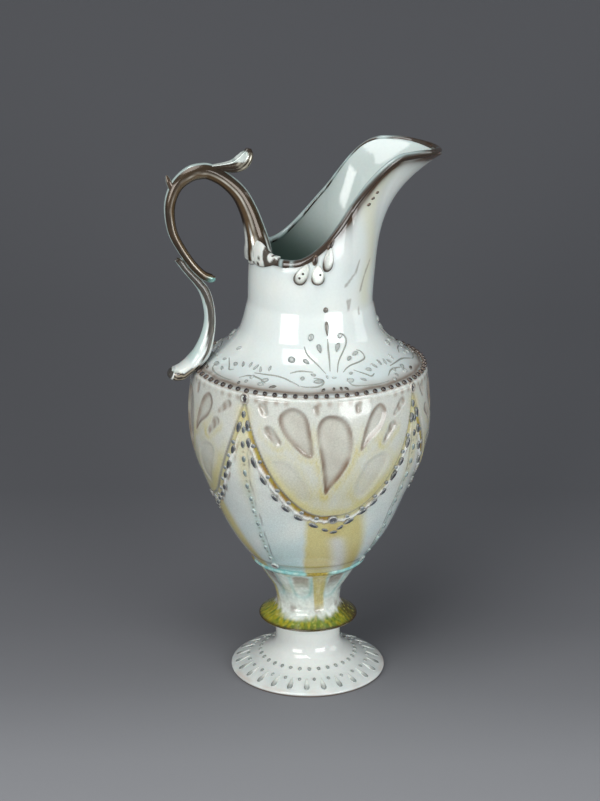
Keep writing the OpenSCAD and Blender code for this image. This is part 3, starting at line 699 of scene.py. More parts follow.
def collar_olive(x, z, d, fine):
    """Olive that is greener in front, shadowed to the right and broken by dark grain and pale flecks."""
    olive = smooth(0.35 + 0.7 * waves(x, z * 1.2, 5, 66) + bump(d / 34, 1) * 0.5)
    olive = mix(rgb(164, 156, 40), rgb(104, 124, 44), olive)
    shadow = smooth((d - 36) / 26) * smooth((150 - d) / 30) * 0.8
    shadow = shadow + 0.6 * smooth(fine * 1.3 - 0.2) * smooth((d + 70) / 60)
    olive = mix(olive, rgb(70, 58, 20), shadow)
    return mix(olive, rgb(188, 186, 96), smooth(waves(x, z * 1.5, 3.2, 62) * 1.3 - 0.3) * 0.6)


def stem_relief(a, z):
    """Height and colour: flutes as half a cosine pressed 1.2 mm into the calyx, olive on the collar, taupe
    wells in the flutes, straw runs under each swag, and turquoise where glaze pooled and on the belt. Here
    d is the angle from the near side."""
    d = (a + 90 + 180) % 360 - 180
    x, q = a * 0.45, panel(a)
    flute = (0.5 - 0.5 * np.cos(np.radians(a * FLUTES))) * rise(z, 49, 12) * fall(z, 73.5, 3)
    fine = waves(x * 1.2, z, 2.2, 65)
    cool = rise(z, 47, 10) * (0.28 + 0.25 * waves(x, z * 0.4, 12, 63))
    colour = mix(rgb(216, 222, 214), rgb(170, 200, 196), cool)
    white_pool = bump((d + 34) / 20, 1) * rise(z, 39.5, 2)
    edge = 43.4 - z + 1.2 * waves(x, z, 6, 67) + 2.4 * smooth((np.abs(d + 8) - 40) / 26)
    colour = mix(colour, collar_olive(x, z, d, fine), smooth(edge / 3.2) * (1 - white_pool))
    colour = mix(colour, rgb(58, 40, 24), bump(z - 36.6, 0.8) * 0.95)
    colour = mix(colour, rgb(206, 214, 208), fall(z, 35.2, 0.9) * 0.85)
    spots = bump(z - 46, 2.2) * smooth(np.sin(np.radians(a * FLUTES + 60)) * 1.4 - 0.5)
    colour = mix(colour, rgb(112, 92, 76), spots * 0.6)
    well = rise(z, 59, 9) * fall(z, 73.2, 1.2) * rise(flute, 0.45, 0.3)
    colour = mix(colour, rgb(146, 138, 126), well * 0.85)
    colour = mix(colour, rgb(96, 84, 74), well * bump(z - 71.8, 1.6) * 0.5)
    colour = mix(colour, rgb(126, 184, 182), bump(flute - 0.35, 0.16) * rise(z, 50, 8) * 0.5)
    run = smooth((q + 5 + (z - 54) * 0.28) / 3) * smooth((17 - (z - 54) * 0.33 - q) / 6)
    straw = mix(rgb(202, 192, 128), rgb(180, 160, 78), 0.5 + 0.4 * fine)
    colour = mix(colour, straw, run * rise(z, 43, 8) * 0.85)
    turquoise = mix(rgb(104, 180, 180), rgb(176, 214, 206), 0.5 + 0.6 * waves(x, z, 6, 64))
    amber = mix(rgb(186, 160, 40), rgb(120, 108, 34), 0.5 + 0.6 * fine)
    belt = mix(turquoise, amber, smooth((q + 17) / 4) * smooth((12 - q) / 8))
    return -1.2 * flute, mix(colour, belt, rise(z, 73.7, 0.7) * 0.9)


def turned(outline):
    """Rings of a turned hollow: a circle of points for each pair of height and radius."""
    z, r = np.array(outline, float).T[..., None]
    a = np.radians(turn)
    return np.stack(np.broadcast_arrays(r * np.cos(a), r * np.sin(a), z), -1) * MM


def foot_paint(a, z):
    """White, cool where the teardrops sit, with a brown line at the very edge and a warm patch above it."""
    cool = fall(z, 12, 6) * (0.5 + 0.3 * waves(a, z, 19, 71))
    colour = mix(rgb(222, 226, 222), rgb(198, 206, 204), cool)
    warm = bump(z - 2.6, 0.9) * smooth(waves(a, 0, 30, 73) + 0.3) * 0.4
    return mix(mix(colour, rgb(196, 170, 152), warm), rgb(92, 66, 46), fall(z, 1.5, 0.7) * 0.9)


turn = np.linspace(-180, 180, 384, endpoint=False)
rows = np.interp(np.arange(96), [0, 26, 40, 80, 95], [STEM_FOOT, 37.5, 46, 73.8, BOWL_FOOT])
A, Z = np.meshgrid(turn, rows)
h, paint = stem_relief(A, Z)
cup = turned([(76.9, 31), (72, 26.5), (64, 20.5), (57.5, 11)])
sheet = (*join((on_wall(A, Z, h), paint), (cup, rgb(200, 212, 204))), False)
make("collar_calyx_and_belt", [sheet], ["collar", "calyx", "belt"], green)

rows = np.interp(np.arange(52), [0, 10, 24, 51], [0, 3.6, 14, STEM_FOOT])
A, Z = np.meshgrid(turn, rows)
h = 0.04 * waves(A, Z, 30, 72) * smooth(Z / 3) * fall(Z, 33, 3)
under = turned([(23.8, 5.9), (16.5, 8.4), (10.9, 13.9), (6.6, 25.2), (2.6, 40.7), (0, 42)])
sheet = (*join((under, rgb(196, 182, 164)), (on_wall(A, Z, h), foot_paint(A, Z))), False)
make("foot", [sheet], ["foot"], porcelain)

# %% [markdown]
# ## Drops of slip
#
# Nearly every ornament on this ewer is a drop: slip pushed from a bag onto the wall, glazed darker, and
# left with a pale rim where the glaze drew back. One function lays all drops of a kind at once. Each row of
# the list gives the angle, the height, the direction of the tail, the length, the width, the height of the
# drop and how far the tail is pinched. Rings are the same discs with a raised edge.

# %% Drops and rings
# A style says, on six circles from the edge of a drop to its middle, how high it stands and how much of the
# heart's colour shows.
BUTTON = ([-0.35, 0.25, 0.7, 0.92, 1.0, 1.0], [0, 0.1, 0.45, 0.95, 1, 1])
DRAWN = ([-0.35, 0.25, 0.7, 0.92, 1.0, 1.0], [0, 0.4, 0.9, 0.6, 0.5, 0.55])
WHITE = ([-0.35, 0.4, 0.95, 1.0, 1.0, 1.0], [0.9, 1.0, 1.0, 0.3, 0, 0])
RING = ([-0.35, 0.35, 1.0, 0.35, 0.5, 1.0], [0.5, 0.25, 0.1, 0.9, 1, 1])
CIRCLES = np.array([1.0, 0.97, 0.86, 0.62, 0.32, 0.08])[:, None]
HANDLE_CLEAR = 216  # what stands lower than this on the shoulder fits under the handle


def drops(rows, rim, heart, style=BUTTON, cols=12, tail_clear=0.0, jitter=0.06, seed=1):
    """Point (p, q) of a unit disc: p runs along the tail, q across it and shrinks towards the tail. Both
    are scaled to the drop, turned to its direction and laid on the wall, raised as the style says."""
    rng = np.random.default_rng(seed)
    d = np.array(rows, float)
    each = (len(d), 1, 1)
    a, z, to, length, width, high, pinch = (d[:, i, None, None] for i in range(7))
    lift, shade = (np.array(v)[:, None] for v in style)
    th = np.linspace(0, 2 * np.pi, cols, endpoint=False)
    wob = 1 + jitter * rng.standard_normal(each) + 0.5 * jitter * np.sin(2 * th + rng.uniform(0, 6, each))
    p = CIRCLES * np.cos(th) * wob
    q = CIRCLES * np.sin(th) * (1 - pinch * (p + 1) / 2)
    c, s = np.cos(np.radians(to)), np.sin(np.radians(to))
    u = p * length / 2 * c - q * width / 2 * s
    v = p * length / 2 * s + q * width / 2 * c
    slope = np.arctan2(wall_r(a, z - 0.5) - wall_r(a, z + 0.5), 1.0)
    zz = z + v * np.cos(slope)
    points = on_wall(a + np.degrees(u / wall_r(a, zz)), zz, lift * high)
    shade = shade * (1 - tail_clear * (1 - fall(p, 0.2, 0.6)))
    tone = 1 + 0.14 * rng.standard_normal((*each, 1))
    return points, mix(rim, heart, shade) * np.clip(tone, 0.6, 1.5), False


def around(rows):
    """The same drops on each swag: the angle of every row is counted from the middle of a swag."""
    return [[x[0] - 90 + 2 * HALF * k, *x[1:]] for k in range(SWAGS) for x in rows]


def clear_of_handle(rows):
    """Leaves out what would stand high on the shoulder under the handle, on the -X side."""
    return [x for x in rows if x[1] < HANDLE_CLEAR or abs((x[0] % 360) - 180) > HALF]


print("a drop is built from", len(CIRCLES), "circles")

# %% [markdown]
# ## The leaf garlands
#
# Nineteen small leaves hang in a string below each apron. Their places are listed. The direction of
# each leaf comes from the run of the string at that place, and the right half is turned round, so that all
# tails point down towards the middle.

# %% Leaf garlands
# Angle from the middle of a swag, and height.
GARLAND = [
    (-42.7, 181), (-41.9, 170.5), (-39.6, 158.8), (-35.5, 148), (-30.6, 136.6), (-25.5, 129.3), (-19, 123),
    (-10.5, 117.6), (-3.4, 113.7), (1.8, 111.7), (5.6, 114.7), (10.3, 118.9), (17.6, 124.5), (23.3, 129.7),
    (28.1, 136.1), (32.2, 145.8), (35.8, 154), (39.4, 164.5), (42.6, 179),
]
arc = np.array(GARLAND) * [radius(125) / RADIAN * 1.05, 1]
way = np.degrees(np.arctan2(np.gradient(arc[:, 1]), np.gradient(arc[:, 0])))
leaves = []
for (x, z), w in zip(GARLAND, way):
    k = 0.72 if abs(x) < 8 else 1
    leaves.append([x, z, w if x < 0 else w + 180, 6.6 * k, 3.7 * k, 1.4 * k, 0.45])
garland = drops(around(leaves), rgb(150, 152, 146), rgb(66, 70, 76), seed=4)
make("leaf_garlands", [garland], ["swag_garlands"], crystal)

# %% [markdown]
# ## Pearls, ribs and medallions
#
# A string of pearls lies in the groove, set at even steps along the swag's curve. The steps come from
# adding up the length of the curve, and each pearl is moved out of the curve at a right angle. Drops run
# down the ribs between the swags, and ring-shaped rosettes and medallions mark the lowest and the highest
# places.

# %% Pearls, ribs and medallions
PEARLS, GAP = 17, 2.3  # pearls on a swag, and how far below the apron's edge they lie
t = np.linspace(-42, 42, 400)
steep = np.gradient(swag(t), t) * RADIAN / radius(swag(t))
run = np.concatenate([[0], np.cumsum(np.hypot(np.diff(t) * 1.2, np.diff(swag(t))))])
x = np.interp((np.arange(PEARLS) + 0.5) / PEARLS * run[-1], run, t)
x = x[np.abs(x) > 3.5]
k, lean = np.interp(x, t, steep), np.interp(x, t, np.sqrt(1 + steep**2))
sideways, height = x + GAP * k / lean * RADIAN / radius(swag(x)), swag(x) - GAP / lean
pearls = [[a, z, 0, 2.9, 2.6, 0.9, 0] for a, z in zip(sideways, height)]
pearls = drops(around(pearls), rgb(176, 178, 172), rgb(118, 126, 130), cols=10, seed=6)
rosette = around([[0.4, 121.2, 0, 6.2, 5.8, 1.4, 0]])
rosette = drops(rosette, rgb(176, 176, 170), rgb(84, 84, 90), RING, seed=5)
make("swag_pearls_and_rosettes", [rosette, pearls], ["swag_rosettes"], crystal)
print("pearls are", round(run[-1] / PEARLS, 1), "mm apart")

ribs = []
for z in np.linspace(187, 87.5, 12):
    down = 190 - z
    ribs.append([HALF + 0.25 * math.sin(z), z, -90, 4.6 - 0.012 * down, 3.1 - 0.006 * down, 1.0, 0.3])
upper = drops(around(ribs[:3]), rgb(168, 176, 172), rgb(84, 88, 92), seed=7)
lower = drops(around(ribs[3:]), rgb(178, 194, 190), rgb(122, 136, 136), seed=7)
make("rib_strings", [upper, lower], ["rib_strings"], crystal)
high = around([[HALF, 196.4, 0, 7.2, 6.6, 1.7, 0]])
high = drops(high, rgb(196, 192, 180), rgb(60, 54, 56), RING, cols=20, seed=8)
make("medallions", [high], ["medallions"], crystal)
low = around([[HALF, 81.0, 0, 5.4, 5.0, 1.2, 0]])
low = drops(low, rgb(190, 204, 200), rgb(104, 96, 92), RING, cols=16, seed=9)
make("belt_rosettes", [low], ["belt_rosettes"], crystal)

# %% [markdown]
# ## Beads and teardrops
#
# A row of dark beads marks the edge of the shoulder, each with one small bright highlight from the window.
# Round the foot, grey teardrops point up the trumpet, with dots between them and a row of dots above them.

# %% Beads, teardrops and dots
TEARS, DOTS = 26, 32  # teardrops round the foot, and dots in the row above them
beads = [[a, 200.3, 90, 3.1, 2.9, 1.7, 0] for a in np.arange(BEADS) * 360 / BEADS]
beads = drops(beads, rgb(108, 92, 78), rgb(42, 36, 38), cols=10, jitter=0.03, seed=10)
make("shoulder_beads", [beads], ["shoulder_beads"], crystal)
tears = [[a, 5.4, 90, 11, 5.6, 0.5, 0.95] for a in (np.arange(TEARS) + 0.5) * 360 / TEARS]
tears = drops(tears, rgb(212, 216, 210), rgb(92, 100, 98), DRAWN, tail_clear=1.0, seed=11)
make("foot_teardrops", [tears], ["foot_drops"], crystal)
dots = [[a, 6.9, 90, 2.6, 2.1, 0.8, 0] for a in np.arange(TEARS) * 360 / TEARS]
dots += [[a, 10.4, 90, 2.9, 2.4, 0.8, 0] for a in np.arange(DOTS) * 360 / DOTS]
dots = drops(dots, rgb(186, 192, 186), rgb(112, 120, 116), DRAWN, cols=8, seed=12)
make("foot_dots", [dots], ["foot_dots"], crystal)

# %% [markdown]
# ## The palmettes on the shoulder
#
# Above each swag stands a palmette of drops, dots and curls, joined by thin lines of slip. The drops use
# the same function as before. Each line is a thin rounded thread that follows the wall, brought to the same
# number of points, so that all threads go into the mesh as one stack. Under the handle only the low part of
# the palmette is laid.

# %% Threads and palmettes
THREAD = 1.15  # width of a thread


def unit(v):
    """The same directions with a length of one."""
    return v / np.linalg.norm(v, axis=-1, keepdims=True)


def thread(path):
    """A half-sunk tube: its middle runs on the wall through a smooth curve of (angle, height), and each
    section is a circle across the line, thinner at both ends."""
    c = spline(path, 6)
    mid = on_wall(c[:, 0], c[:, 1], -0.15)
    out = unit(on_wall(c[:, 0], c[:, 1], 1.0) - mid)
    go = unit(np.gradient(mid, axis=0))
    th = np.linspace(0, 2 * np.pi, 8, endpoint=False)[None, :, None]
    fat = (THREAD / 2 * MM * (0.45 + 0.55 * np.sin(np.linspace(0.15, np.pi - 0.15, len(c)))))[:, None, None]
    return mid[:, None] + fat * (np.cos(th) * out[:, None] + np.sin(th) * np.cross(go, out)[:, None])


def eight_points(path):
    """Eight places at even steps of the smooth curve through the path."""
    return spline(path, 8)[np.linspace(0, 8 * (len(path) - 1), 8).astype(int)]


# Rows for drops, counted from the middle of a swag: dark ones on the axis, the fan at the beads, and the
# soft rest.
dark_drops = [(0.8, 243, 90, 3.2, 3.0, 1.1, 0), (1.2, 232.2, -90, 11, 3.4, 1.2, 0.8)]
fan = [
    (-6.2, 202.9, 225, 3.4, 2.0, 0.9, 0.3), (-0.6, 203.1, 255, 2.8, 1.9, 0.9, 0.2),
    (3.3, 203.1, 275, 2.8, 1.9, 0.9, 0.2), (6.2, 202.9, 310, 3.4, 2.0, 0.9, 0.3),
    (-32.8, 203.4, 200, 4.4, 2.4, 0.9, 0.4), (-52.7, 202.7, 90, 2.2, 2.0, 0.8, 0),
]
soft_drops = [
    (-5.8, 221.4, -77, 6.2, 3.9, 1.1, 0.6), (8.7, 221.5, -115, 6, 3.7, 1.1, 0.6),
    (-12.4, 227.6, -110, 4.4, 3.8, 1, 0.2), (12.4, 227.6, 40, 3.6, 3, 1, 0.2),
    (21.8, 217.1, 200, 4.4, 3, 1, 0.4), (15.5, 215.3, 220, 4.2, 2.8, 1, 0.4),
    (-15.6, 215, -40, 4.6, 3.2, 1, 0.4), (-26, 215.6, -30, 5, 4.6, 1.1, 0.2),
    (10.1, 205.9, 10, 5.2, 4.2, 1.1, 0.4), (-8.4, 206.4, 190, 6, 4.2, 1.1, 0.45),
    (25, 209.1, 170, 4, 3.2, 1, 0.3), (12.2, 208.9, 20, 3, 2.2, 0.8, 0.3),
    (17.9, 205.6, 150, 4, 2.4, 0.8, 0.5), (-11, 209.2, 160, 3, 2.2, 0.8, 0.3),
    (-17.3, 207.7, 90, 2.8, 2.6, 0.8, 0), (-38.6, 205.6, 200, 4.8, 3.4, 1, 0.3),
    (-47.2, 206, 60, 3.4, 2.8, 0.9, 0.2), (-59.2, 210.1, 125, 4.6, 2.2, 0.8, 0.5),
    (-53.4, 210.7, 95, 4.6, 2.2, 0.8, 0.5), (-48.6, 210.2, 70, 4.6, 2.2, 0.8, 0.5),
    (45.3, 209.7, 115, 4.6, 2, 0.8, 0.5), (51.1, 210.8, 90, 4.6, 2, 0.8, 0.5),
    (50.1, 203.8, 0, 4.2, 3, 1, 0.3), (41, 203.9, 90, 2.6, 2.4, 0.8, 0), (37.2, 202.7, 90, 2.2, 2, 0.8, 0),
    (1.1, 207.7, 0, 3, 1.4, 0.7, 0), (-2.9, 208.2, 90, 2.4, 1.4, 0.7, 0.3),
]
lines = [
    [(1.6, 226.5), (1.2, 221), (0.8, 216), (-0.4, 210.6)],
    [(-17.7, 222.5), (-14.9, 218.3), (-8.5, 214), (-3.3, 209.7)],
    [(10.1, 227.7), (12.9, 229), (16.4, 227.2), (17.6, 224), (14, 220.1), (7.8, 215.3), (3.9, 209.9)],
    [(7.7, 209.7), (11.7, 211.6), (17.4, 212.7), (25.8, 213.5), (28.5, 215.2), (27.6, 217.6), (24.4, 218.7)],
    [(-25.2, 209.7), (-19.3, 210.8), (-10.9, 210.5)],
    [(8.7, 207), (9.4, 204.6), (13.1, 203.4), (21.5, 202.8), (32.8, 202.8)],
    [(-10.9, 208), (-5.8, 207.2), (-6.6, 204.8), (-13.9, 204.1), (-19.6, 204.7)],
    [(27.2, 207.1), (24, 206.3), (21.4, 207.6), (14.8, 210.2)],
    [(35, 204.7), (40.5, 206.4), (47.3, 206.1), (52.4, 204.5)],
    [(-47.5, 207.9), (-38.1, 208.1), (-29.6, 207.7), (-22.2, 205.8), (-19.2, 204.9)],
]
threads = []
for k in range(SWAGS):
    under_handle = k == SWAGS - 1
    for path in lines:
        if not under_handle or max(z for x, z in path) < HANDLE_CLEAR:
            threads.append(thread([(x - 90 + 2 * HALF * k, z) for x, z in eight_points(path)]))
dark = drops(clear_of_handle(around(dark_drops)), rgb(156, 152, 144), rgb(74, 66, 58), DRAWN, seed=13)
fan = drops(around(fan), rgb(120, 116, 108), rgb(66, 60, 54), cols=8, seed=15)
soft = drops(clear_of_handle(around(soft_drops)), rgb(202, 208, 202), rgb(122, 128, 126), DRAWN, seed=16)
sheets = [dark, fan, soft, (np.stack(threads), rgb(146, 150, 142), False)]
make("shoulder_palmettes", sheets, ["shoulder_sprigs"], crystal)

# %% [markdown]
# ## The dark lip and its drops
#
# A thick brown bead of glaze runs all round the lip, with a fine pale line where it thins on the crest. It
# is a rounded section carried along the edge. At the back the brown thins to gaps. Large and small drops
# hang below it on both sides, mirrored.

# %% Lip bead and lip drops
edge = on_wall(turn_lip, lip_z(turn_lip))
out = unit(on_wall(turn_lip, lip_z(turn_lip), 1.0) - edge)
climb = unit(edge - on_wall(turn_lip, lip_z(turn_lip) - 0.8))
off = np.abs(turn_lip)[:, None]
# The section: how far out of the wall and how far up along it, in mm, from the foot of the outer flank over
# the crest to the inner flank. The flank list says how brown each of its points is.
SECTION = np.array([
    (-0.5, -3.6), (0.1, -3.3), (0.35, -2.3), (0.4, -1.1), (0.25, 0.2), (-0.5, 1.0), (-1.4, 1.25), (-2.4, 1.0),
    (-3.15, 0.2), (-3.35, -0.9), (-3.1, -2.0), (-2.4, -2.4),
])
FLANK = np.array([0.9, 1, 1, 1, 1, 0.85, 0.3, 0.0, 0.5, 1, 1, 0.6])[None]
across, upward = SECTION.T[:, None]
sweep = 1 + 0.16 * waves(turn_lip, 0, 23, 81)[:, None]
across = across - 1.35 * smooth((16 - off) / 12)  # drawn in at the tip, to stay within the reach of the spout
upward = upward * np.where(upward < 0, sweep, 1.0)
points = edge[:, None] + MM * (across[..., None] * out[:, None] + upward[..., None] * climb[:, None])
gaps = smooth(waves(turn_lip, 0, 13, 82) * 1.6 - 0.1)[:, None] * smooth((off - 112) / 14)
inner_side = (np.arange(len(SECTION)) > 7)[None]
patchy = smooth(0.75 + 0.9 * waves(turn_lip, 0, 15, 83))[:, None]
brown = FLANK * (1 - 0.85 * gaps) * np.where(inner_side, patchy, 1)
tone = mix(rgb(172, 190, 188), rgb(56, 42, 30), np.maximum(brown, 0.97 * smooth((28 - off) / 14)))
make("lip_edge", [(points, tone, True)], ["rim_bead"], porcelain)

# Rows for drops on the near side; the far side gets their mirror image.
large_at = [
    (-110.4, 264.2, 62, 14, 10.6, 1.6, 0.6), (-96.4, 263.8, 90, 13.4, 10.4, 1.7, 0.55),
    (-86.5, 273, 80, 17, 8.8, 1.6, 0.65),
]
small_at = [
    (-98.8, 272.6, 80, 6.4, 3.6, 1.5, 0.2), (-84, 281.6, 60, 8, 3.6, 1.4, 0.5),
    (-112.6, 262.2, 90, 2, 2, 2.0, 0), (-109.6, 264.8, 90, 2, 2, 2.0, 0),
    (-94.6, 264.4, 90, 2.2, 1.8, 2.0, 0), (-46.5, 302.5, 40, 2.6, 1.8, 0.9, 0.2),
    (-43.5, 306, 40, 2.4, 1.6, 0.9, 0.2), (-40.5, 309.2, 40, 2.2, 1.5, 0.9, 0.2),
]


def mirrored(rows):
    """The rows and their mirror images on the other side: the angle changes sign and the tail turns
    round."""
    return [list(x) for x in rows] + [[-x[0], x[1], 180 - x[2], *x[3:]] for x in rows]


large = drops(mirrored(large_at), rgb(216, 222, 214), rgb(62, 46, 32), WHITE, cols=20,
              tail_clear=0.75, seed=14)
little = drops(mirrored(small_at), rgb(120, 100, 82), rgb(48, 38, 32), seed=17)
make("lip_drops", [large, little], ["lip_drops"], crystal)

# %% [markdown]
# ## The handle's arch
#
# The handle is pulled: a strip of clay drawn out, curled and stuck on. Each part is a smooth path in the
# plane of the spout with a width and a thickness at every point, and shallow flutes along it. The thin
# glaze breaks pale on the edges and pools dark in the flutes, so its paint is worked out from the place
# across the strap and along it.

# %% Pulled parts and the arch
PALE, UMBER, BRONZE = rgb(198, 212, 206), rgb(44, 32, 18), rgb(88, 68, 40)
FLAT = 0.9  # share of the thickness that is left after the strap is flattened


def plump(x):
    """Rounder than a circle's sine: the sign times the size to the power of 0.85."""
    return np.sign(x) * np.abs(x) ** 0.85


def pulled(path, cols, flutes=0.0, count=2, steps=8):
    """Section at each point of the path: an oval of half width w across the path in its plane and half
    thickness b out of it, pushed in by the flutes. Path rows are (x, z, width, thickness) in mm. Gives the
    points, the place across the strap from -1 to 1 and the share of the way along."""
    c = spline(path, steps)
    go = unit(np.gradient(c[:, :2], axis=0))
    th = np.linspace(0, 2 * np.pi, cols, endpoint=False)
    share = np.linspace(0, 1, len(c))[:, None]
    fade = np.sin(np.pi * np.clip(share, 0.03, 1)) ** 0.5
    press = 1 - flutes * (0.5 + 0.5 * np.cos(2 * count * th + np.pi)) * fade
    w = c[:, 2, None] / 2 * plump(np.cos(th)) * press
    b = c[:, 3, None] / 2 * FLAT * plump(np.sin(th)) * press
    points = np.stack([c[:, 0, None] - w * go[:, 1, None], -b, c[:, 1, None] + w * go[:, 0, None]], -1) * MM
    return points, *np.broadcast_arrays(np.cos(th)[None], share)


ARCH = [
    (-31.4, 267.5, 16.5, 27), (-31.8, 272, 16.2, 22.5), (-32.4, 277.5, 14.4, 15), (-34.1, 285, 12.4, 10.8),
    (-37.5, 295.5, 10.8, 9.4), (-43, 306, 9.8, 9), (-51.5, 314.4, 9.1, 8.8), (-60, 319.3, 9.4, 8.4),
    (-66, 320, 9.6, 8.4), (-72.5, 318.3, 9.3, 8), (-79.5, 312.5, 8, 7.4), (-83.4, 304, 7, 6.8),
    (-84.2, 295, 6.3, 6.6), (-82.5, 284.5, 5.8, 6.4), (-78.2, 275.4, 5.4, 6.2), (-71.6, 265.1, 5.2, 6),
    (-65.3, 258.3, 5.2, 6), (-60.2, 255.6, 5.2, 5.4), (-57.6, 255.4, 2.6, 3),
]
p, v, s = pulled(ARCH, 36, 0.12, steps=9)
streak = waves(s * 70, v * 2, 9, 91)
ridge = 0.1 + 0.1 * fall(s, 0.45, 0.2) + 0.05 * waves(s * 90, 0, 9, 92)
brown = np.maximum(smooth((ridge - v) / 0.1) * (0.75 + 0.3 * streak), smooth((np.abs(v) - 0.7) / 0.2))
tone = mix(BRONZE, UMBER, brown)
# A broken pale line along the ridge of the strap is a painted highlight.
ridge_highlight = bump(v - ridge, 0.06) * smooth(waves(s * 60, 0, 7, 94) * 1.1 + 0.85)
tone = mix(tone, rgb(226, 222, 208), ridge_highlight * 0.9)
tone = mix(tone, rgb(196, 214, 210), smooth((-v - 0.86) / 0.08) * 0.95)
# Two tongues of white run up from the rim, one on each half of the strap, with a white edge outside them.
outer = smooth((0.26 * (1 - s / 0.2) - np.abs(v - 0.5)) / 0.07)
inner = smooth((0.24 * (1 - s / 0.16) - np.abs(v + 0.64)) / 0.07)
white = np.maximum(np.maximum(outer, inner), rise(v, 0.88, 0.06) * fall(s, 0.2, 0.05))
tone = mix(tone, rgb(222, 227, 221), white)
tone = mix(tone, rgb(116, 166, 160), rise(s, 0.9, 0.06) * smooth((-v + 0.55) / 0.3) * 0.9)
make("handle_arch", [(p, tone, False)], ["handle_arch"], bronze)

# %% [markdown]
# ## The lower scroll and its leaf
#
# The scroll is white under a wide band of brown that narrows on its way down. Its end widens into a leaf that
# lies against the edge of the shoulder. Both take their sections from one path, so faces and colours meet.
# The sections at the cut are drawn in a little, so that each piece ends inside the other and no seam shows.

# %% Scroll and terminal leaf
SCROLL = [
    (-80.6, 268.2, 2.6, 3.6), (-78.4, 266.4, 4.2, 5), (-74.4, 261, 4.4, 5.8), (-68.6, 254.4, 5.2, 6.8),
    (-64.4, 248.4, 6.3, 7), (-61.9, 240.4, 6.6, 7.2), (-61, 231, 6.8, 7.4), (-62.4, 221, 8.2, 8.6),
    (-66, 210.7, 10.5, 12), (-71.9, 204.3, 9.4, 17), (-76.2, 200.6, 8, 17), (-78.6, 199.3, 7, 16.6),
]
p, v, s = pulled(SCROLL, 36, 0.1)
streak = waves(s * 60, v * 2, 9, 93)
turned_in = smooth((s - 0.25) / 0.4)
half_band = (0.92 - 0.34 * turned_in) * smooth((0.86 - s) / 0.3)
band = smooth((half_band - np.abs(v - 0.08 - 0.2 * turned_in - 0.04 * streak)) / 0.1) * fall(s, 0.84, 0.05)
shade = mix(rgb(218, 225, 221), rgb(158, 182, 178), smooth((-v - 0.3) / 0.5) * 0.7)
shade = mix(shade, UMBER, band * 0.95)
shade = mix(shade, rgb(200, 192, 176), bump(v - 0.42, 0.06) * smooth(0.7 + streak) * band * 0.8)
shade = mix(shade, UMBER, fall(s, 0.07, 0.03) * smooth((v + 0.6) / 0.3) * 0.95)
PART = round(len(p) * 8 / 11)  # the section where the leaf begins
OVER, SHARED = 3, 10  # sections that the scroll runs on into the leaf, and those that the leaf takes from it


def squeeze(rings, shares):
    """The first rings drawn in to the given shares about their middles, so that one piece can end inside
    another."""
    middle = rings.mean(axis=1, keepdims=True)
    shares = np.concatenate([shares, np.ones(len(rings) - len(shares))])[:, None, None]
    return middle + (rings - middle) * shares


points = squeeze(p[: PART + OVER][::-1], [0.95, 0.98])[::-1]
make("handle_scroll", [(points, shade[: PART + OVER], False)], ["handle_scroll"], porcelain)

LEAF = [(-76.2, 200.4, 8.6, 17), (-80.6, 198.6, 8.6, 16), (-84.0, 198.8, 7.6, 12.5), (-85.9, 199.8, 4.4, 7)]
tail = pulled(LEAF, 36)[0][3:]
points = squeeze(np.concatenate([p[PART : PART + SHARED], tail]), [0.98])
v, k = np.broadcast_arrays(v[:1], np.linspace(0, 1, len(points))[:, None])
middle = points.mean(axis=1, keepdims=True)
cleft = bump(v + 0.6 + 0.2 * (k - 0.6), 0.16) * smooth((k - 0.35) / 0.3)
points = middle + (points - middle) * (1 - 0.1 * cleft)[..., None]
last = shade[PART + SHARED - 1]
tone = join((p[PART : PART + SHARED], shade[PART : PART + SHARED]), (tail, last))[1]
tone = mix(tone, rgb(220, 226, 221), rise(k, 0.15, 0.2))
# The crease between the lobes is painted grey-green as painted shade.
tone = mix(tone, rgb(150, 170, 164), cleft * 0.75)
veins = smooth(np.sin(v * 13 + k * 9) * 1.8 + 1.15)
patch = smooth((v - 0.3 + 0.85 * rise(k, 0.08, 0.45)) / 0.12) * rise(k, 0.1, 0.06) * fall(k, 0.74, 0.03)
curl = rise(k, 0.78, 0.03) * smooth((v + 0.62) / 0.1)
tone = mix(tone, mix(rgb(170, 160, 140), rgb(40, 30, 20), veins), patch)
tone = mix(tone, rgb(40, 30, 20), np.maximum(curl, rise(k, 0.93, 0.03)) * 0.95)
tone = mix(tone, rgb(126, 140, 138), bump(np.hypot((k - 0.76) * 7, (v + 0.93) * 5) - 0.5, 0.16) * 0.7)
make("terminal_leaf", [(points, tone, False)], ["terminal_leaf"], porcelain)

# %% [markdown]
# ## The thumb leaf and the spur
#
# A small fluted leaf stands on the arch where the thumb rests, and a spur grows out of its outer bend. Both
# are pulled parts too. Brown veins are a sine across the leaf that slants along it.

# %% Thumb leaf and spur
THUMB = [
    (-60.5, 321.8, 3.4, 5), (-52.7, 321.9, 5.4, 7), (-46.4, 322.2, 8.2, 8.8), (-41.4, 324.4, 10, 8.5),
    (-38.2, 328.4, 8.2, 7.2), (-37, 332.2, 3, 2.4),
]
p, v, s = pulled(THUMB, 44, 0.14, 4)
tone = mix(rgb(208, 216, 210), rgb(150, 172, 166), smooth(waves(s * 30, v * 3, 8, 96)) * 0.5)
veins = np.maximum(smooth(np.sin(v * 15 - s * 9) * 1.6 + 0.85), fall(s, 0.5, 0.1))
limit = 0.66 - 0.62 * rise(s, 0.42, 0.25) + 0.5 * rise(s, 0.8, 0.15)
tone = mix(tone, mix(rgb(170, 164, 146), rgb(50, 38, 24), veins), smooth((limit - v) / 0.12))
tone = mix(tone, rgb(46, 34, 24), rise(s, 0.87, 0.05) * 0.95)
make("thumb_leaf", [(p, tone, False)], ["thumb_leaf"], bronze)

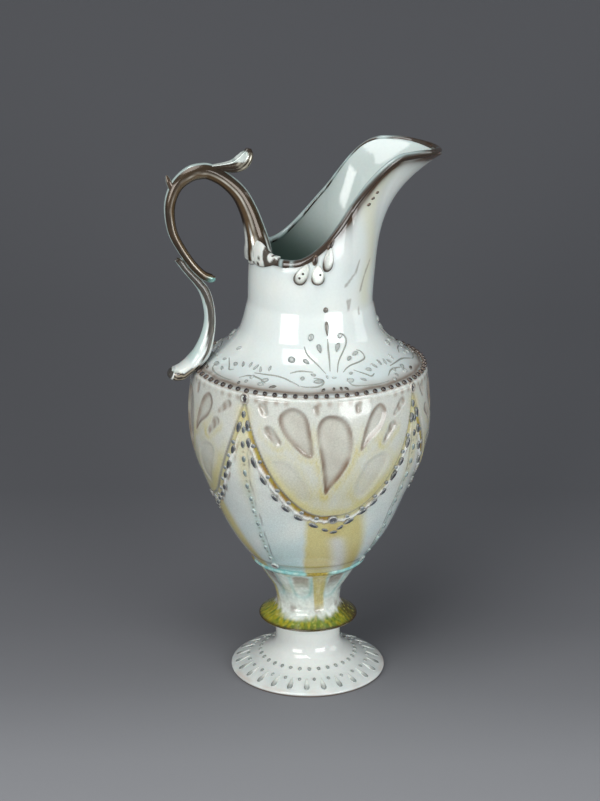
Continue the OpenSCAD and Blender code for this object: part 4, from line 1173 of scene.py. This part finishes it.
SPUR = [(-82.6, 310.6, 4.4, 5), (-84.3, 314.2, 3.6, 4.6), (-85.0, 316.3, 2.8, 3.4), (-85.7, 318.4, 1.2, 1.4)]
p, v, s = pulled(SPUR, 16)
tone = mix(rgb(74, 58, 42), PALE, smooth(np.abs(v) * 3 - 2) * 0.8)
make("handle_spur", [(p, tone, False)], ["handle_spur"], bronze)

# %% [markdown]
# ## The claw on the rim
#
# Where the handle leaves the rim, white lobes grip the wall inside and out like a claw. The section is a
# saddle over the rim. It is carried along the rim and swells at each lobe, and a web of clay rises in its
# middle towards the handle. A slanted brown stripe crosses it on each side, with a few brown dots and a
# dark line along its foot.

# %% Claw
CLAW, HANG = 44, 9.18  # degrees from the middle of the claw to its end, and how far its lobes hang down
TOP, OUTER, INNER = 272.15, 35.45, 32.35  # height of the rim's top, and its two edges
DOTTED = [(13, 6, 1.3), (23, 5.6, 1.2), (22, 2, 1.5), (14, 1.6, 1.1), (39, 6, 1.1), (6, 3, 1.2)]
DARK = rgb(54, 40, 26)
u = np.linspace(-1, 1, 73)
away = 180 + CLAW * u
lobe = 0.8 + 0.2 * np.abs(np.cos(np.radians(270 * u)))
down = HANG * (0.35 + 0.65 * np.cos(np.radians(80 * u))) * lobe
t = 0.4 + 0.6 * smooth((1.04 - np.abs(u)) / 0.5)
web = 4.6 * smooth((38 - np.abs(CLAW * u)) / 22)
wall = wall_r(away, np.clip(272 - down, 240, 270)) + 0.05


def spread(pairs):
    """Pairs of radius and height, each a number or one value for every place along the claw, as one
    array."""
    return np.stack([np.stack(np.broadcast_arrays(r, z, u)[:2], -1) for r, z in pairs], 1)


section = spread([
    (wall, TOP - down),
    (wall + t * 0.6, TOP - down * 0.94),
    (wall + t * 1.25, TOP - down * 0.5),
    (OUTER + t * 1.3, TOP + t * 0.4 + web * 0.3),
    (OUTER - 0.8, TOP + t * 1.5 + web),
    (INNER + 0.6, TOP + t * 1.35 + web),
    (INNER - t * 0.8, TOP + t * 0.4 + web * 0.3),
    (INNER - t * 0.9, TOP - down * 0.55),
    (INNER - t * 0.4, TOP - down),
    (INNER, TOP - down * 1.05),
])
saddle = np.stack([spline(points, 3) for points in section[:, ::-1]])
flat = np.concatenate([saddle, spread([(OUTER, TOP), (INNER, TOP)])], 1)
r, turned_by = flat[..., 0], np.radians(away)[:, None]
p = np.stack([r * np.cos(turned_by), r * np.sin(turned_by), flat[..., 1]], -1) * MM
off, height = np.abs(CLAW * u)[:, None] * np.ones(flat.shape[1]), flat[..., 1] - (TOP - down)[:, None]
brown = smooth((2.6 + 0.1 * height - np.abs(off - 31.5 + 0.4 * (height - 5))) / 0.9)
foot_edge = smooth((3.6 + 0.8 * np.sin(off * 0.8) - height) / 0.9)
brown = np.maximum(brown, rise(off, 29, 2) * fall(off, 45, 1) * foot_edge)
for place, low, r in DOTTED:
    brown = np.maximum(brown, smooth((r - np.hypot((off - place) * 0.62, height - low)) / 0.3))
tone = mix(rgb(222, 227, 221), DARK, brown * 0.95)
tone = mix(tone, DARK, bump(height, 0.8) * 0.75)
make("rim_claw", [(p, tone, False)], ["rim_claw"], porcelain)

# %% [markdown]
# ## Table, backdrop and light
#
# The ewer stands on a sheet of paper that rises behind it in one sweep, so there is no horizon. Its profile
# is a straight run, a quarter of a circle and a straight wall. Its grey is painted light falloff: light near
# the front and darker with the distance, as the lamps' light falls off. Two soft boxes, a window and a weak
# fill
# make the long highlights on the bowl: one at the left, one at the right and one overhead.

# %% Backdrop
# Painted light falloff on the paper: its grey by how far back it lies, as shares of the way from the front to
# the wall.
PAPER_FALLOFF = [(0.02, 150), (0.15, 142), (0.26, 124), (0.42, 104), (0.6, 80), (0.8, 70), (0.98, 70)]
TOWARD, RIGHT = np.array([0.22496, 0.97437]), np.array([0.97437, -0.22496])  # away from the lens, and across
BEND = 0.45  # radius of the sweep
quarter = np.linspace(0.05, np.pi / 2, 20)
back = np.concatenate([np.linspace(-1.6, 0.06, 20), 0.06 + BEND * np.sin(quarter), np.full(12, 0.51)])
lift = np.concatenate([np.zeros(20), BEND * (1 - np.cos(quarter)), np.linspace(0.5, 2.6, 12)])
side = np.linspace(-2.2, 2.2, 41)
floor = back[:, None, None] * TOWARD + side[:, None] * RIGHT
P = np.concatenate([floor, np.broadcast_to(lift[:, None, None], (len(lift), len(side), 1))], -1)
n = len(side)
i, j = np.meshgrid(np.arange(n - 1), np.arange(len(back) - 1))
quads = np.stack([j * n + i, j * n + i + 1, (j + 1) * n + i + 1, (j + 1) * n + i], -1).reshape(-1, 4)
sheet = bpy.data.meshes.new("backdrop")
sheet.from_pydata(P.reshape(-1, 3).tolist(), [], quads.tolist())
sheet.polygons.foreach_set("use_smooth", np.ones(len(quads), bool))
backdrop = bpy.data.objects.new("backdrop", sheet)
bpy.context.scene.collection.objects.link(backdrop)
backdrop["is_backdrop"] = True
cloth = bpy.data.materials.new("backdrop_paper_painted_falloff")
cloth.use_nodes = True
tree = cloth.node_tree
paper = tree.nodes["Principled BSDF"]
place = node(tree, "TexCoord")
away = node(tree, "VectorMath")
away.operation = "DOT_PRODUCT"
away.inputs[1].default_value = (*TOWARD, 0.15)
fade = node(tree, "MapRange", From_Min=-0.25, From_Max=0.55)
painted_falloff = node(tree, "ValToRGB")
for depth, grey in PAPER_FALLOFF:
    stop = painted_falloff.color_ramp.elements.new(depth)
    stop.color = (*rgb(grey, grey + 1, grey + 5), 1)
for i in (0, -1):
    painted_falloff.color_ramp.elements.remove(painted_falloff.color_ramp.elements[i])
tree.links.new(place.outputs["Object"], away.inputs[0])
tree.links.new(away.outputs["Value"], fade.inputs["Value"])
tree.links.new(fade.outputs["Result"], painted_falloff.inputs["Fac"])
tree.links.new(painted_falloff.outputs["Color"], paper.inputs["Base Color"])
paper.inputs["Roughness"].default_value = 0.8
sheet.materials.append(cloth)
print("backdrop:", len(quads), "faces")

# %% [markdown]
# Each lamp is placed by its bearing from the ewer, its height angle and its distance, and looks at the
# middle of the ewer. A dim, slightly blue world fills the shadows.

# %% Lamps
def lamp(name, azimuth, elevation, distance, width, height, watts, colour=(1, 1, 1)):
    """A rectangular lamp aimed at the middle of the ewer. Azimuth 0 is in front (-Y) and grows towards
    +X."""
    a, e = math.radians(azimuth), math.radians(elevation)
    way = np.array([math.sin(a) * math.cos(e), -math.cos(a) * math.cos(e), math.sin(e)])
    light = bpy.data.lights.new(name, "AREA")
    light.shape, light.size, light.size_y = "RECTANGLE", width, height
    light.energy, light.color = watts, colour
    obj = bpy.data.objects.new(name, light)
    bpy.context.scene.collection.objects.link(obj)
    obj.matrix_world = aim(way * distance + [0, 0, 0.17], -way)
    return obj


lamps = [
    lamp("left_softbox", -49, 14, 1.6, 0.85, 0.7, 11.5, (1, 0.99, 0.97)),
    lamp("right_window", 30, 8, 1.6, 0.9, 0.8, 12.5, (0.97, 0.99, 1)),
    lamp("overhead_softbox", -40, 62, 1.6, 0.9, 0.9, 11, (1, 1, 1)),
    lamp("right_fill", 82, 6, 1.8, 0.9, 1.1, 5, (1, 0.99, 0.97)),
]
world = bpy.data.worlds.new("studio_air")
bpy.context.scene.world = world
world.use_nodes = True
world.node_tree.nodes["Background"].inputs["Color"].default_value = (0.9, 0.95, 1, 1)
world.node_tree.nodes["Background"].inputs["Strength"].default_value = 0.33
bpy.context.scene.view_settings.view_transform = "Standard"
print("lamps:", [o.name for o in lamps])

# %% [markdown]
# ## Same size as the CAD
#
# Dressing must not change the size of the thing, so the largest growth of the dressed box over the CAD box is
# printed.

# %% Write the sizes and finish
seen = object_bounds()
grown = np.maximum(np.subtract(cad_box[0], seen[0]), np.subtract(seen[1], cad_box[1]))
print("largest growth in mm:", round(float(grown.max()) / MM, 2))
